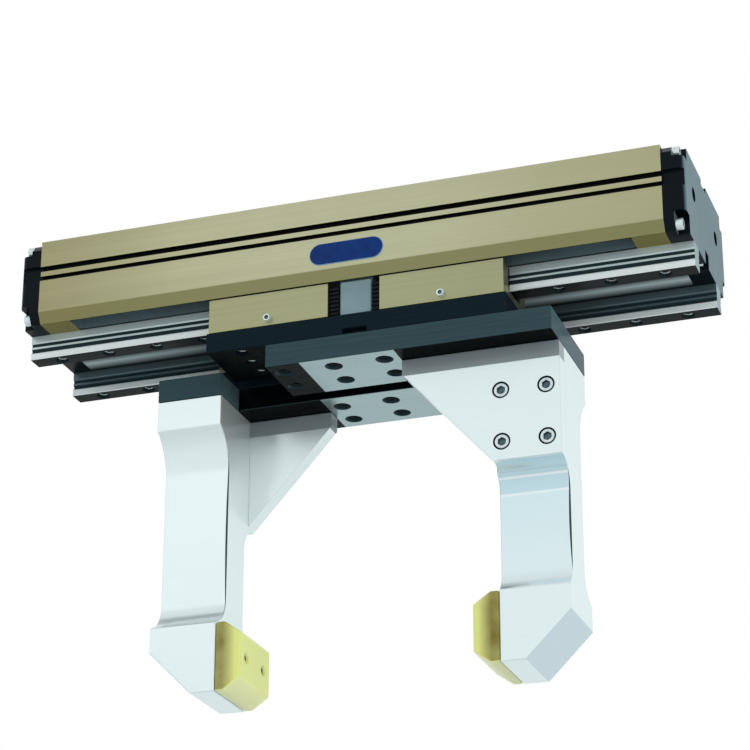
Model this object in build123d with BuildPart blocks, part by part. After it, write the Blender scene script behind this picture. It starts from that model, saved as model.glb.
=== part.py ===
"""Long-stroke electric two-finger gripper with a belt drive.

Millimetres, +Z up.  The origin is the middle of the housing's flat top face, where a robot
flange bolts on.  X runs along the housing, the front is -Y, and the fingers point down (-Z).
The two jaws are the same set of pieces: the rear one is the front one turned half a turn about Z.
"""
import os
from collections import namedtuple
from math import pi

from build123d import *

os.makedirs("parts", exist_ok=True)

# ---------------------------------------------------------------- driving dimensions
profile_length = 741
profile_depth = 210
profile_height = 103
profile_top_wall = 14
profile_side_wall = 13
profile_floor = 14
profile_chamfer_height = 13     # chamfer along the two lower edges
profile_chamfer_depth = 7.5
cavity_corner = 4
end_plate_thickness = 25

side_groove_depth_z = 32        # top of the upper side groove, below the top face
side_groove_width = 6
side_land_width = 6
side_groove_depth = 6
side_groove_undercut = 2
side_land_drop = 1.2
key_groove_width = 24
key_groove_depth = 7

rail_inset = 48                 # middle of a rail from the side of the housing
rail_width = 23
rail_height = 29.5
rail_pitch = 60
rail_hole_count = 13

jaw_slot_length = 666
jaw_slot_edge = 8               # outer edge of a slot from the side of the housing
jaw_slot_width = 25
jaw_slot_corner = 6

jaw_inset = 6.7                 # front of a jaw behind the side of the housing
jaw_middle_gap = 20             # between the two jaw plates
jaw_plate_left = -160.3
jaw_plate_right = 192
jaw_plate_thickness = 24
carriage_centres = (-86, 118)
carriage_base = 13              # from the rail's underside down to the jaw plate
cover_length = 143
cover_base = 11
cover_leg = 19                  # front leg of the cover's U section
cover_clearance = 1.5           # between the top of a cover and the housing
raceway_length = 98
cap_length = 21
driver_left = -2.3
driver_right = 36.1

adapter_left = -88.4
adapter_right = 241.8
adapter_thickness = 27.3
adapter_wing_depth = 43         # how far the wide end passes the middle plane

finger_width = 78.3
finger_depth = 90
finger_back = 42                # rear face of the finger, behind the middle plane
finger_length = 350
finger_front_recess = 10
finger_back_recess = 28
finger_square_head = 36         # height of the square head at the back of the finger
finger_back_scoop = 49          # height of the long scoop below that head
tip_height = 79
tip_chamfer = 50
gusset_thickness = 20
gusset_reach = 101              # how far the gusset stands out past the finger, inwards
gusset_height = 132
gusset_short_side = 17.5
pad_thickness = 30
pad_land = 10.5
pad_end_chamfer = 13.5

pulley_teeth = 32
belt_pitch = 10
belt_width = 32
belt_thickness = 3.2
belt_middle_z = -51.5
pulley_centre_x = 308
pulley_flange_thickness = 2
shaft_radius = 17.5
shaft_bore_radius = 9.5
axle_radius = 12.5

fit = 0.05                      # radial clearance of a running or seated round fit
gap = 0.5                       # clearance between flat faces that slide or slip together
edge_break = 0.8                # chamfer on the milled plates' outer edges

Fastener = namedtuple("Fastener", "head_radius head_height shank_radius")
m5 = Fastener(4.25, 5, 2.5)
m8 = Fastener(6.5, 8, 4)
m10 = Fastener(8, 10, 5)
m12 = Fastener(9, 12, 6)
head_gap = 1.2                  # room round a screw head in its counterbore

# ---------------------------------------------------------------- derived sizes
rail_top_z = -profile_height
rail_bottom_z = rail_top_z - rail_height
jaw_plate_z = rail_bottom_z - carriage_base
adapter_z = jaw_plate_z - jaw_plate_thickness
finger_z = adapter_z - adapter_thickness
finger_left = adapter_right - finger_width
finger_front = finger_back - finger_depth
tip_z = finger_z - finger_length
housing_half_length = profile_length / 2 + end_plate_thickness
rail_y = profile_depth / 2 - rail_inset
jaw_slot_outer = profile_depth / 2 - jaw_slot_edge
jaw_slot_inner = jaw_slot_outer - jaw_slot_width
jaw_half_depth = profile_depth / 2 - jaw_inset
cavity_half_depth = profile_depth / 2 - profile_side_wall
cavity_height = profile_height - profile_top_wall - profile_floor
cavity_middle_z = -profile_top_wall - cavity_height / 2
pulley_radius = pulley_teeth * belt_pitch / (2 * pi) - 1
belt_inner = pulley_radius + 0.4
belt_outer = belt_inner + belt_thickness
pulley_height = belt_width + 2

FACE_DOWN = (180, 0, 0)
FACE_FRONT = (90, 0, 0)
FACE_RIGHT = (0, 90, 0)
FACE_LEFT = (0, -90, 0)


# ---------------------------------------------------------------- helpers
def save(part, name):
    """Label a finished piece and write it to its own file."""
    part.label = name
    export_step(part, f"parts/{name}.step")


def socket_screw(size, shank_length, sink=0):
    """Socket head cap screw along -Z, its head's top lying `sink` below the origin."""
    with BuildPart() as screw:
        with BuildSketch(Plane.XY.offset(-sink)):
            Circle(size.head_radius)
        extrude(amount=-size.head_height)
        with BuildSketch(Plane.XY.offset(-sink)):
            RegularPolygon(size.shank_radius, 6)
        extrude(amount=-size.head_height / 2, mode=Mode.SUBTRACT)
        with BuildSketch(Plane.XY.offset(-sink - size.head_height)):
            Circle(size.shank_radius)
        extrude(amount=-shank_length)
    return screw.part


def group(piece, places):
    """Copies of one small piece at several places, as separate solids."""
    with BuildPart() as pieces:
        with Locations(*places):
            add(piece)
    return pieces.part


def drill(size, depth, sink=0):
    """Counterbored hole for a socket screw at the current locations."""
    CounterBoreHole(
        radius=size.shank_radius + fit,
        counter_bore_radius=size.head_radius + head_gap,
        counter_bore_depth=size.head_height + sink,
        depth=depth,
    )


def block(x_range, y_range, z_range, mode=Mode.ADD):
    """Rectangular block between two corners, in the current builder."""
    size = (x_range[1] - x_range[0], y_range[1] - y_range[0], z_range[1] - z_range[0])
    middle = [(low + high) / 2 for low, high in (x_range, y_range, z_range)]
    with Locations(tuple(middle)):
        Box(*size, mode=mode)


def housing_section():
    """Outer section of the housing in its YZ plane, with the two lower edges chamfered."""
    half = profile_depth / 2
    with BuildSketch() as section:
        with BuildLine():
            Polyline(
                (-half, 0),
                (half, 0),
                (half, profile_chamfer_height - profile_height),
                (half - profile_chamfer_depth, -profile_height),
                (profile_chamfer_depth - half, -profile_height),
                (-half, profile_chamfer_height - profile_height),
                close=True,
            )
        make_face()
    return section.sketch


def side_grooves():
    """Two undercut sensor grooves and the sunk land between them, on both sides."""
    half = profile_depth / 2
    lower_top = side_groove_depth_z + side_groove_width + side_land_width
    for side in (-1, 1):
        for top in (side_groove_depth_z, lower_top):
            middle_z = -top - side_groove_width / 2
            with Locations((side * half, middle_z)):
                Rectangle(2 * side_groove_depth, side_groove_width, mode=Mode.SUBTRACT)
            with Locations((side * (half - side_groove_depth + 1), middle_z)):
                undercut_width = side_groove_width + 2 * side_groove_undercut
                Rectangle(2, undercut_width, mode=Mode.SUBTRACT)
        with Locations((side * half, -lower_top + side_land_width / 2)):
            Rectangle(2 * side_land_drop, side_land_width, mode=Mode.SUBTRACT)


# ---------------------------------------------------------------- places of fasteners
end_screw_inset = 10
end_screw_y = profile_depth / 2 - end_screw_inset
end_screw_z = (-7, 8.5 - profile_height)
end_screw_sink = 5
end_screw_hole = 60             # depth of the screw's hole behind the outer face
rail_holes = [
    ((index - (rail_hole_count - 1) / 2) * rail_pitch, side * rail_y, rail_bottom_z)
    for side in (-1, 1)
    for index in range(rail_hole_count)
]
rail_screw_places = [Location(place, FACE_DOWN) for place in rail_holes]
rail_screw_sink = 3
rail_screw_length = 26
robot_bolts = (160, 120)
robot_bolt_radius = 4.25
motor_flange_radius = 55
motor_bore_radius = 30
motor_bolt_circle = 90
motor_bolt_radius = 3.4
motor_bolt_count = 4


def end_screw_places(side):
    """The five screws through one end plate; side is -1 for the left end and 1 for the right."""
    face = FACE_RIGHT if side > 0 else FACE_LEFT
    x = side * housing_half_length
    corners = [(y, z) for y in (-end_screw_y, end_screw_y) for z in end_screw_z]
    return [Location((x, y, z), face) for y, z in [*corners, (0, end_screw_z[1])]]


# ---------------------------------------------------------------- extruded housing profile
with BuildPart() as housing_profile:
    with BuildSketch(Plane.YZ.offset(-profile_length / 2)):
        add(housing_section())
        side_grooves()
        Rectangle(key_groove_width, 2 * key_groove_depth, mode=Mode.SUBTRACT)
        with Locations((0, cavity_middle_z)):
            RectangleRounded(2 * cavity_half_depth, cavity_height, cavity_corner, mode=Mode.SUBTRACT)
    extrude(amount=profile_length)
    slot_width = jaw_slot_outer - jaw_slot_inner
    slot_y = (jaw_slot_outer + jaw_slot_inner) / 2
    with BuildSketch(Plane.XY.offset(-profile_height)):
        with Locations((0, -slot_y), (0, slot_y)):
            RectangleRounded(jaw_slot_length, slot_width, jaw_slot_corner)
    extrude(amount=profile_floor + cavity_corner, mode=Mode.SUBTRACT)
    with Locations((-pulley_centre_x, 0, 0)):
        Hole(motor_flange_radius, depth=profile_top_wall)
    with GridLocations(*robot_bolts, 2, 2):
        Hole(robot_bolt_radius, depth=profile_top_wall)
    with Locations(*rail_screw_places):
        Hole(m8.shank_radius + fit, depth=rail_screw_sink + m8.head_height + rail_screw_length)
    for end in (-1, 1):
        with Locations(*end_screw_places(end)):
            Hole(m8.shank_radius + fit, depth=end_screw_hole)
save(housing_profile.part, "housing_profile")


# ---------------------------------------------------------------- end plates and their screws
pocket_size = 17
lower_pocket_rise = 13          # room for the key above the lower corner screws
pocket_depth = m8.head_height + end_screw_sink
end_plate_corner = 10           # chamfer of the plate's two upper corners
end_plate_round = 8             # rounding of its outer upright edges
end_plate_recess = 5            # sunk band beside the side grooves
end_plate_recess_margin = 1
access_hole_radius = 8.4
access_hole_z = -42


def end_plate(side):
    """Cast end plate with open pockets for its five screws and two blind access holes."""
    inner = side * profile_length / 2
    outer = side * housing_half_length
    x_range = sorted((inner, outer))
    with BuildPart() as plate:
        with BuildSketch(Plane.YZ.offset(x_range[0])):
            add(housing_section())
        extrude(amount=end_plate_thickness)
        top_edges = plate.faces().sort_by(Axis.Z)[-1].edges().filter_by(Axis.X)
        chamfer(top_edges, length=end_plate_corner)
        upright = plate.edges().filter_by(Axis.Z).group_by(Axis.X)[-1 if side > 0 else 0]
        fillet(upright, radius=end_plate_round)
        key_y = (-key_groove_width / 2, key_groove_width / 2)
        block(x_range, key_y, (-key_groove_depth, 1), Mode.SUBTRACT)
        recess_top = end_plate_recess_margin - side_groove_depth_z
        recess_height = 2 * side_groove_width + side_land_width + 2 * end_plate_recess_margin
        for y in (-profile_depth / 2, profile_depth / 2):
            y_range = (y - end_plate_recess, y + end_plate_recess)
            block(x_range, y_range, (recess_top - recess_height, recess_top), Mode.SUBTRACT)
        pocket_x = sorted((outer - side * pocket_depth, outer + side))
        for direction in (-1, 1):
            pocket_y = sorted((
                direction * (end_screw_y - pocket_size / 2),
                direction * (profile_depth / 2 + 1),
            ))
            block(pocket_x, pocket_y, (end_screw_z[0] - pocket_size / 2, 1), Mode.SUBTRACT)
            lower_pocket_z = (-profile_height - 1, end_screw_z[1] + lower_pocket_rise)
            block(pocket_x, pocket_y, lower_pocket_z, Mode.SUBTRACT)
        pocket_y = (-pocket_size / 2, pocket_size / 2)
        pocket_z = (-profile_height - 1, end_screw_z[1] + pocket_size / 2)
        block(pocket_x, pocket_y, pocket_z, Mode.SUBTRACT)
        with Locations(*end_screw_places(side)):
            Hole(m8.shank_radius + fit, depth=end_plate_thickness)
        face = FACE_RIGHT if side > 0 else FACE_LEFT
        with Locations(*[Location((outer, y, access_hole_z), face) for y in (-rail_y, rail_y)]):
            Hole(access_hole_radius, depth=end_plate_thickness / 2)
    return plate.part


save(end_plate(-1), "left_end_plate")
save(end_plate(1), "right_end_plate")
end_screw = socket_screw(m8, 50 - m8.head_height, end_screw_sink)
save(group(end_screw, end_screw_places(-1) + end_screw_places(1)), "end_plate_screws")


# ---------------------------------------------------------------- profiled guide rails
def rail_section():
    """Raceway section: foot, two grooves with a ridge between them, and the ball head."""
    half = rail_width / 2
    depths = [0, 8, 10.5, 12, 13.5, 15.5, 17.5, 19, 22, rail_height - 1.2, rail_height]
    insets = [0, 0, 2.3, 2.3, 0.9, 0.9, 2.9, 2.9, 0, 0, 1.2]
    right = [(half - inset, rail_top_z - depth) for inset, depth in zip(insets, depths)]
    left = [(-y, z) for y, z in reversed(right)]
    with BuildSketch() as section:
        with BuildLine():
            Polyline(*right, *left, close=True)
        make_face()
    return section.sketch


def rail(side):
    """One hardened rail, counterbored from below at every pitch."""
    with BuildPart() as bar:
        with BuildSketch(Plane.YZ.offset(-housing_half_length)):
            add(rail_section())
        extrude(amount=2 * housing_half_length)
        with Locations(*[Location((x, 0, z), FACE_DOWN) for x, y, z in rail_holes if y < 0]):
            drill(m8, rail_height, rail_screw_sink)
    return bar.part.translate((0, side * rail_y, 0))


save(rail(-1), "front_rail")
save(rail(1), "rear_rail")
rail_screw = socket_screw(m8, rail_screw_length, rail_screw_sink)
save(group(rail_screw, rail_screw_places), "rail_screws")


# ---------------------------------------------------------------- belt drive inside the housing
pulley_plane = Plane.XY.offset(belt_middle_z)
block_gap_z = pulley_height + 2 * pulley_flange_thickness + 4
bearing_height = 12
block_reach = 58                # from the pulley's middle to the block's open end
block_end_wall = 5
pulley_groove = (5, 4)
drive_bearing_outer = 31
idler_bearing_outer = 21


def pulley(centre_x, bore_radius):
    """Toothed pulley with two rims that keep the belt on."""
    with BuildPart() as wheel:
        with Locations((centre_x, 0, belt_middle_z)):
            Cylinder(pulley_radius, pulley_height)
        for step in (-1, 1):
            offset_z = step * (pulley_height + pulley_flange_thickness) / 2
            with Locations((centre_x, 0, belt_middle_z + offset_z)):
                Cylinder(belt_outer + 2, pulley_flange_thickness)
        with BuildSketch(pulley_plane.offset(-pulley_height / 2)):
            with Locations((centre_x, 0)):
                with PolarLocations(pulley_radius, pulley_teeth):
                    Rectangle(*pulley_groove)
        extrude(amount=pulley_height, mode=Mode.SUBTRACT)
        with Locations((centre_x, 0, belt_middle_z)):
            total = pulley_height + 2 * pulley_flange_thickness
            Cylinder(bore_radius, total, mode=Mode.SUBTRACT)
    return wheel.part


def bearing_block(side, bore_radius, bore_height, neck_radius):
    """Block that fills one end of the cavity and carries a pulley between two arms."""
    end_x = side * profile_length / 2
    open_x = side * (pulley_centre_x - block_reach)
    pocket = (belt_middle_z - block_gap_z / 2, belt_middle_z + block_gap_z / 2)
    with BuildPart() as carrier:
        with BuildSketch(Plane.YZ.offset(min(open_x, end_x))):
            with Locations((0, cavity_middle_z)):
                RectangleRounded(2 * (cavity_half_depth - gap), cavity_height - 2 * gap, cavity_corner)
        extrude(amount=abs(end_x - open_x))
        pocket_x = sorted((open_x - side, end_x - side * block_end_wall))
        pocket_y = belt_outer + 5
        block(pocket_x, (-pocket_y, pocket_y), pocket, Mode.SUBTRACT)
        with Locations((side * pulley_centre_x, 0, belt_middle_z)):
            Cylinder(bore_radius, bore_height, mode=Mode.SUBTRACT)
            Cylinder(neck_radius, cavity_height, mode=Mode.SUBTRACT)
        for place in end_screw_places(side):
            with Locations(place):
                Hole(m8.shank_radius + 2, depth=end_screw_hole + end_plate_thickness)
    return carrier.part


def bearing(centre_x, middle_z, inner_radius, outer_radius, height):
    """Ball bearing drawn as one closed ring."""
    with BuildPart() as race:
        with Locations((centre_x, 0, middle_z)):
            Cylinder(outer_radius, height)
            Cylinder(inner_radius, height, mode=Mode.SUBTRACT)
    return race.part


drive_x = -pulley_centre_x
bearing_z_step = block_gap_z / 2 + bearing_height / 2 + 1
shaft_top_z = -6
shaft_bottom_z = belt_middle_z - bearing_z_step - bearing_height / 2

with BuildPart() as drive_shaft:
    with BuildSketch(Plane.XY.offset(shaft_bottom_z)):
        with Locations((drive_x, 0)):
            Circle(shaft_radius)
    extrude(amount=shaft_top_z - shaft_bottom_z)
    with Locations((drive_x, 0, shaft_top_z)):
        Hole(shaft_bore_radius, depth=50)
save(drive_shaft.part, "drive_shaft")
save(pulley(drive_x, shaft_radius + fit), "drive_pulley")

drive_block_bore = 2 * (bearing_z_step + bearing_height / 2)
drive_block = bearing_block(-1, drive_bearing_outer + fit, drive_block_bore, shaft_radius + 1)
save(drive_block, "drive_bearing_block")
drive_bearing = [
    bearing(drive_x, belt_middle_z + step * bearing_z_step, shaft_radius + fit,
            drive_bearing_outer, bearing_height)
    for step in (-1, 1)
]
with BuildPart() as drive_bearings:
    add(drive_bearing)
save(drive_bearings.part, "drive_bearings")

axle_length = cavity_height - 4 * gap
save(pulley(pulley_centre_x, idler_bearing_outer + fit), "idler_pulley")
idler_block = bearing_block(1, axle_radius + fit, axle_length, axle_radius - 4)
save(idler_block, "idler_bearing_block")
with BuildPart() as idler_axle:
    with Locations((pulley_centre_x, 0, belt_middle_z)):
        Cylinder(axle_radius, axle_length)
save(idler_axle.part, "idler_axle")
idler_bearing_step = pulley_height / 2 + pulley_flange_thickness - bearing_height / 2
with BuildPart() as idler_bearings:
    add([
        bearing(pulley_centre_x, belt_middle_z + step * idler_bearing_step, axle_radius + fit,
                idler_bearing_outer, bearing_height)
        for step in (-1, 1)
    ])
save(idler_bearings.part, "idler_bearings")

with BuildPart() as toothed_belt:
    with BuildSketch(pulley_plane.offset(-belt_width / 2)):
        SlotCenterToCenter(2 * pulley_centre_x, 2 * belt_outer)
        SlotCenterToCenter(2 * pulley_centre_x, 2 * belt_inner, mode=Mode.SUBTRACT)
    extrude(amount=belt_width)
save(toothed_belt.part, "toothed_belt")

with BuildPart() as motor_flange:
    with BuildSketch(Plane.XY.offset(-profile_top_wall)):
        with Locations((drive_x, 0)):
            Circle(motor_flange_radius - fit)
            Circle(motor_bore_radius, mode=Mode.SUBTRACT)
            with PolarLocations(motor_bolt_circle / 2, motor_bolt_count, start_angle=45):
                Circle(motor_bolt_radius, mode=Mode.SUBTRACT)
    extrude(amount=profile_top_wall)
save(motor_flange.part, "motor_flange")

# ---------------------------------------------------------------- one jaw, drawn as the front one
jaw_inner_y = -jaw_middle_gap / 2
carriage_screw_x = 35
carriage_screw_y = 29
carriage_screw_length = 20
carriage_screw_places = [
    Location((centre + step_x, -rail_y + step_y, adapter_z), FACE_DOWN)
    for centre in carriage_centres
    for step_x in (-carriage_screw_x, carriage_screw_x)
    for step_y in (-carriage_screw_y, 0, carriage_screw_y)
]
carriage_screw_sink = 4
adapter_screw_x = (-74, -14.5, 45)
adapter_screw_y = (-rail_y - 19.5, -rail_y + 20.5)
adapter_screw_sink = 4
adapter_screw_length = 26
adapter_screw_places = [
    Location((x, y, finger_z), FACE_DOWN) for x in adapter_screw_x for y in adapter_screw_y
]
cover_screw_z = jaw_plate_z + 8
cover_screw_places = [
    Location((centre, -jaw_half_depth, cover_screw_z), FACE_FRONT) for centre in carriage_centres
]
cover_screw_length = 12
finger_bolt_x = (finger_left + 18, finger_left + 60)
finger_bolt_y = (-32, 20)
finger_bolt_places = [Location((x, y, adapter_z)) for x in finger_bolt_x for y in finger_bolt_y]
finger_bolt_length = 40
gusset_screw_x = (finger_left + 11.7, finger_left + 62.5)
gusset_screw_z = (finger_z - 51, finger_z - 111)
gusset_front = finger_front - gusset_thickness
gusset_screw_places = [
    Location((x, gusset_front, z), FACE_FRONT) for x in gusset_screw_x for z in gusset_screw_z
]
gusset_screw_length = 30
finger_middle_y = finger_back - finger_depth / 2
pad_face_x = finger_left - pad_thickness
pad_middle_z = tip_z + tip_height / 2
pad_screw_spacing = 50
pad_screw_places = [
    Location((pad_face_x, finger_middle_y + step * pad_screw_spacing / 2, pad_middle_z), FACE_LEFT)
    for step in (-1, 1)
]
pad_screw_sink = 2
pad_screw_length = 40
driver_front = -(jaw_slot_outer - 2)
driver_back = -(jaw_slot_inner + 2)
driver_corner = 4
riser_front = 1 - min(cavity_half_depth, jaw_slot_outer)
clamp_half_height = belt_width / 2 + 8
clamp_screw_x = (driver_left + 9, driver_right - 9)
clamp_screw_z = (belt_middle_z - belt_width / 2 - 4.5, belt_middle_z + belt_width / 2 + 4.5)
clamp_thickness = 9
clamp_back = -(belt_inner - gap - clamp_thickness)
FACE_BACK = (-90, 0, 0)
clamp_screw_places = [
    Location((x, clamp_back, z), FACE_BACK) for x in clamp_screw_x for z in clamp_screw_z
]
clamp_screw_length = 20
key_slot_width = 29
key_slot_height = 7


def jaw_plate():
    """Steel plate that joins the two carriages of a jaw and carries the adapter."""
    with BuildPart() as plate:
        block((jaw_plate_left, jaw_plate_right), (-jaw_half_depth, jaw_inner_y), (adapter_z, jaw_plate_z))
        chamfer(plate.edges(), length=edge_break)
        with Locations(*carriage_screw_places):
            drill(m8, jaw_plate_thickness, carriage_screw_sink)
        with Locations(*adapter_screw_places):
            Hole(m12.shank_radius + fit, depth=adapter_screw_sink + m12.head_height + adapter_screw_length)
        middle = (driver_left + driver_right) / 2
        key_x = (middle - key_slot_width / 2, middle + key_slot_width / 2)
        key_y = (-jaw_half_depth - 1, -jaw_half_depth + 10)
        block(key_x, key_y, (adapter_z - 1, adapter_z + key_slot_height), Mode.SUBTRACT)
    return plate.part


cover_inner_front = -jaw_half_depth + cover_leg
cover_inner_back = -2 * rail_y - cover_inner_front
cover_back = jaw_inner_y - 2
cover_top = rail_top_z - cover_clearance
cover_floor = jaw_plate_z + cover_base


def cover(centre):
    """Anodised U-shaped carriage body: two legs and a base that wrap the rail from below."""
    with BuildPart() as shell:
        with BuildSketch(Plane.YZ.offset(centre - cover_length / 2)):
            with BuildLine():
                Polyline(
                    (-jaw_half_depth, jaw_plate_z),
                    (cover_back, jaw_plate_z),
                    (cover_back, cover_top),
                    (cover_inner_back, cover_top),
                    (cover_inner_back, cover_floor),
                    (cover_inner_front, cover_floor),
                    (cover_inner_front, cover_top),
                    (-jaw_half_depth, cover_top),
                    close=True,
                )
            make_face()
        extrude(amount=cover_length)
        top_front = shell.edges().filter_by(Axis.X).group_by(Axis.Z)[-1].sort_by(Axis.Y)[0]
        chamfer([top_front], length=edge_break)
        with Locations(*carriage_screw_places):
            Hole(m8.shank_radius + fit, depth=carriage_screw_sink + m8.head_height + carriage_screw_length)
        with Locations(*cover_screw_places):
            Hole(m5.shank_radius + fit, depth=cover_screw_length + 1)
    return shell.part


def around_rail(centre, length, z_range):
    """Block that fills the cover's channel, cut out to the rail's section with a clearance."""
    with BuildPart() as filler:
        with BuildSketch(Plane.YZ.offset(centre - length / 2)):
            with Locations((-rail_y, sum(z_range) / 2)):
                Rectangle(cover_inner_back - cover_inner_front - gap, z_range[1] - z_range[0])
            rail_outline = rail_section().translate((-rail_y, 0, 0))
            offset(rail_outline, gap, kind=Kind.INTERSECTION, mode=Mode.SUBTRACT)
        extrude(amount=length)
    return filler.part


def raceways(centre):
    """Pair of hardened raceway inserts, one in each leg, shaped to the rail's ball grooves."""
    return around_rail(centre, raceway_length, (rail_bottom_z + 2, rail_top_z - 5))


def carriage_caps():
    """Moulded end caps with their wipers, one at each end of both carriages."""
    with BuildPart() as caps:
        for centre in carriage_centres:
            for side in (-1, 1):
                middle = centre + side * (raceway_length + cap_length) / 2
                add(around_rail(middle, cap_length, (cover_floor + gap, rail_top_z - 3)))
    return caps.part


def belt_driver():
    """Grey block between the covers; it rises through the housing slot and reaches the belt."""
    arm_z = (belt_middle_z - clamp_half_height, belt_middle_z + clamp_half_height)
    with BuildPart() as driver:
        with BuildSketch(Plane.XY.offset(jaw_plate_z)):
            with Locations(((driver_left + driver_right) / 2, (driver_front + driver_back) / 2)):
                RectangleRounded(driver_right - driver_left, driver_back - driver_front, driver_corner)
        extrude(amount=rail_top_z - 2 - jaw_plate_z)
        block((driver_left, driver_right), (riser_front, driver_back), (rail_top_z - 2, arm_z[1]))
        block((driver_left, driver_right), (driver_back, -belt_outer - gap), arm_z)
        with Locations(*clamp_screw_places):
            Hole(m5.shank_radius + fit, depth=clamp_screw_length + m5.head_height)
    return driver.part


def belt_clamp():
    """Plate inside the belt loop, screwed to the driver above and below the belt."""
    clamp_front = clamp_back - clamp_thickness
    arm_z = (belt_middle_z - clamp_half_height, belt_middle_z + clamp_half_height)
    with BuildPart() as clamp:
        block((driver_left, driver_right), (clamp_front, clamp_back), arm_z)
        for z_range in ((arm_z[0], clamp_screw_z[0] + 3.5), (clamp_screw_z[1] - 3.5, arm_z[1])):
            block((driver_left, driver_right), (-belt_outer - gap, clamp_front), z_range)
        with Locations(*clamp_screw_places):
            drill(m5, clamp_screw_length + m5.head_height)
    return clamp.part


def wiper_blocks():
    """Ribbed black blocks that fill the space between the driver and the two covers."""
    rib = 2.5
    bottom = jaw_plate_z
    top = rail_top_z - 6
    with BuildPart() as blocks:
        for left, right in (
            (carriage_centres[0] + cover_length / 2, driver_left),
            (driver_right, carriage_centres[1] - cover_length / 2),
        ):
            x_range = (left + gap, right - gap)
            block(x_range, (driver_front + 2, driver_back), (bottom, top))
            for row in range(int((top - bottom) / (2 * rib))):
                z = bottom + rib + 2 * rib * row
                block(x_range, (driver_front, driver_front + 2), (z, z + rib))
    return blocks.part


def adapter_plate():
    """L-shaped plate: a strip under its own jaw and a wide end that carries the finger."""
    with BuildPart() as plate:
        with BuildSketch(Plane.XY.offset(finger_z)):
            with BuildLine():
                Polyline(
                    (adapter_left, -jaw_half_depth),
                    (adapter_right, -jaw_half_depth),
                    (adapter_right, adapter_wing_depth),
                    (finger_left, adapter_wing_depth),
                    (finger_left, jaw_inner_y),
                    (adapter_left, jaw_inner_y),
                    close=True,
                )
            make_face()
        extrude(amount=adapter_thickness)
        chamfer(plate.edges(), length=edge_break)
        with Locations(*adapter_screw_places):
            drill(m12, adapter_thickness, adapter_screw_sink)
        with Locations(*finger_bolt_places):
            drill(m12, adapter_thickness)
    return plate.part


tip_scoop_front = 24
tip_scoop_back = 35
scoop_radius = gusset_thickness + finger_front_recess
scoop_centre_z = finger_z - gusset_height - scoop_radius
scoop_start_z = scoop_centre_z + (scoop_radius**2 - gusset_thickness**2) ** 0.5


def arc_radius(recess, height):
    """Radius of the arc that leaves a flat waist smoothly and comes out by recess over height."""
    return (recess**2 + height**2) / (2 * recess)


def finger():
    """Milled bar: a square head, a waist scooped out at front and back, and a heavy tip."""
    tip_top = tip_z + tip_height
    front = finger_front
    back = finger_back
    front_waist = front + finger_front_recess
    back_waist = back - finger_back_recess
    head_bottom = finger_z - finger_square_head
    scoop_bottom = head_bottom - finger_back_scoop
    front_arc = arc_radius(finger_front_recess, tip_scoop_front)
    back_arc = arc_radius(finger_back_recess, tip_scoop_back)
    head_arc = arc_radius(finger_back_recess, finger_back_scoop)
    with BuildPart() as bar:
        with BuildSketch(Plane.YZ.offset(finger_left)):
            with BuildLine():
                Line((front, finger_z), (back, finger_z))
                Line((back, finger_z), (back, head_bottom))
                RadiusArc((back, head_bottom), (back_waist, scoop_bottom), -head_arc)
                Line((back_waist, scoop_bottom), (back_waist, tip_top + tip_scoop_back))
                RadiusArc((back_waist, tip_top + tip_scoop_back), (back, tip_top), -back_arc)
                Line((back, tip_top), (back, tip_z))
                Line((back, tip_z), (front, tip_z))
                Line((front, tip_z), (front, tip_top))
                RadiusArc((front, tip_top), (front_waist, tip_top + tip_scoop_front), -front_arc)
                Line((front_waist, tip_top + tip_scoop_front), (front_waist, scoop_centre_z))
                RadiusArc((front_waist, scoop_centre_z), (front, scoop_start_z), -scoop_radius)
                Line((front, scoop_start_z), (front, finger_z))
            make_face()
        extrude(amount=finger_width)
        outer_bottom = bar.edges().filter_by(Axis.Y).group_by(Axis.Z)[0].sort_by(Axis.X)[-1]
        chamfer(outer_bottom, length=tip_chamfer)
        chamfer(bar.edges(), length=edge_break)
        with Locations(*finger_bolt_places):
            Hole(m12.shank_radius + fit, depth=m12.head_height + finger_bolt_length + 2)
        with Locations(*gusset_screw_places):
            Hole(m10.shank_radius + fit, depth=m10.head_height + gusset_screw_length + 2)
        with Locations(*pad_screw_places):
            Hole(m5.shank_radius + fit, depth=pad_screw_sink + m5.head_height + pad_screw_length + 2)
    return bar.part


def gusset():
    """Bracing plate bolted to the finger's face; the finger's front scoop runs on through it."""
    gusset_toe = finger_left + 2
    with BuildPart() as plate:
        with BuildSketch(Plane.XZ.offset(-finger_front)):
            with BuildLine():
                Polyline(
                    (finger_left - gusset_reach, finger_z),
                    (adapter_right, finger_z),
                    (adapter_right, scoop_start_z),
                    (gusset_toe, scoop_start_z),
                    (gusset_toe, finger_z - gusset_height),
                    (finger_left - gusset_reach, finger_z - gusset_short_side),
                    close=True,
                )
            make_face()
        extrude(amount=gusset_thickness)
        with BuildSketch(Plane.YZ.offset(gusset_toe - 1)):
            with Locations((gusset_front, scoop_centre_z)):
                Circle(scoop_radius)
        extrude(amount=finger_width + 1, mode=Mode.SUBTRACT)
        top_edges = plate.faces().sort_by(Axis.Z)[-1].edges()
        chamfer(top_edges, length=edge_break)
        with Locations(*gusset_screw_places):
            drill(m10, gusset_thickness)
    return plate.part


def grip_pad():
    """Cast elastomer pad with both ends chamfered, screwed through its grip face."""
    top = tip_z + tip_height
    with BuildPart() as pad:
        with BuildSketch(Plane.XZ.offset(-finger_back)):
            with BuildLine():
                Polyline(
                    (finger_left, tip_z),
                    (finger_left, top),
                    (finger_left - pad_land, top),
                    (pad_face_x, top - pad_end_chamfer),
                    (pad_face_x, tip_z + pad_end_chamfer),
                    (finger_left - pad_land, tip_z),
                    close=True,
                )
            make_face()
        extrude(amount=finger_depth)
        with Locations(*pad_screw_places):
            drill(m5, pad_thickness, pad_screw_sink)
    return pad.part


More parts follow.
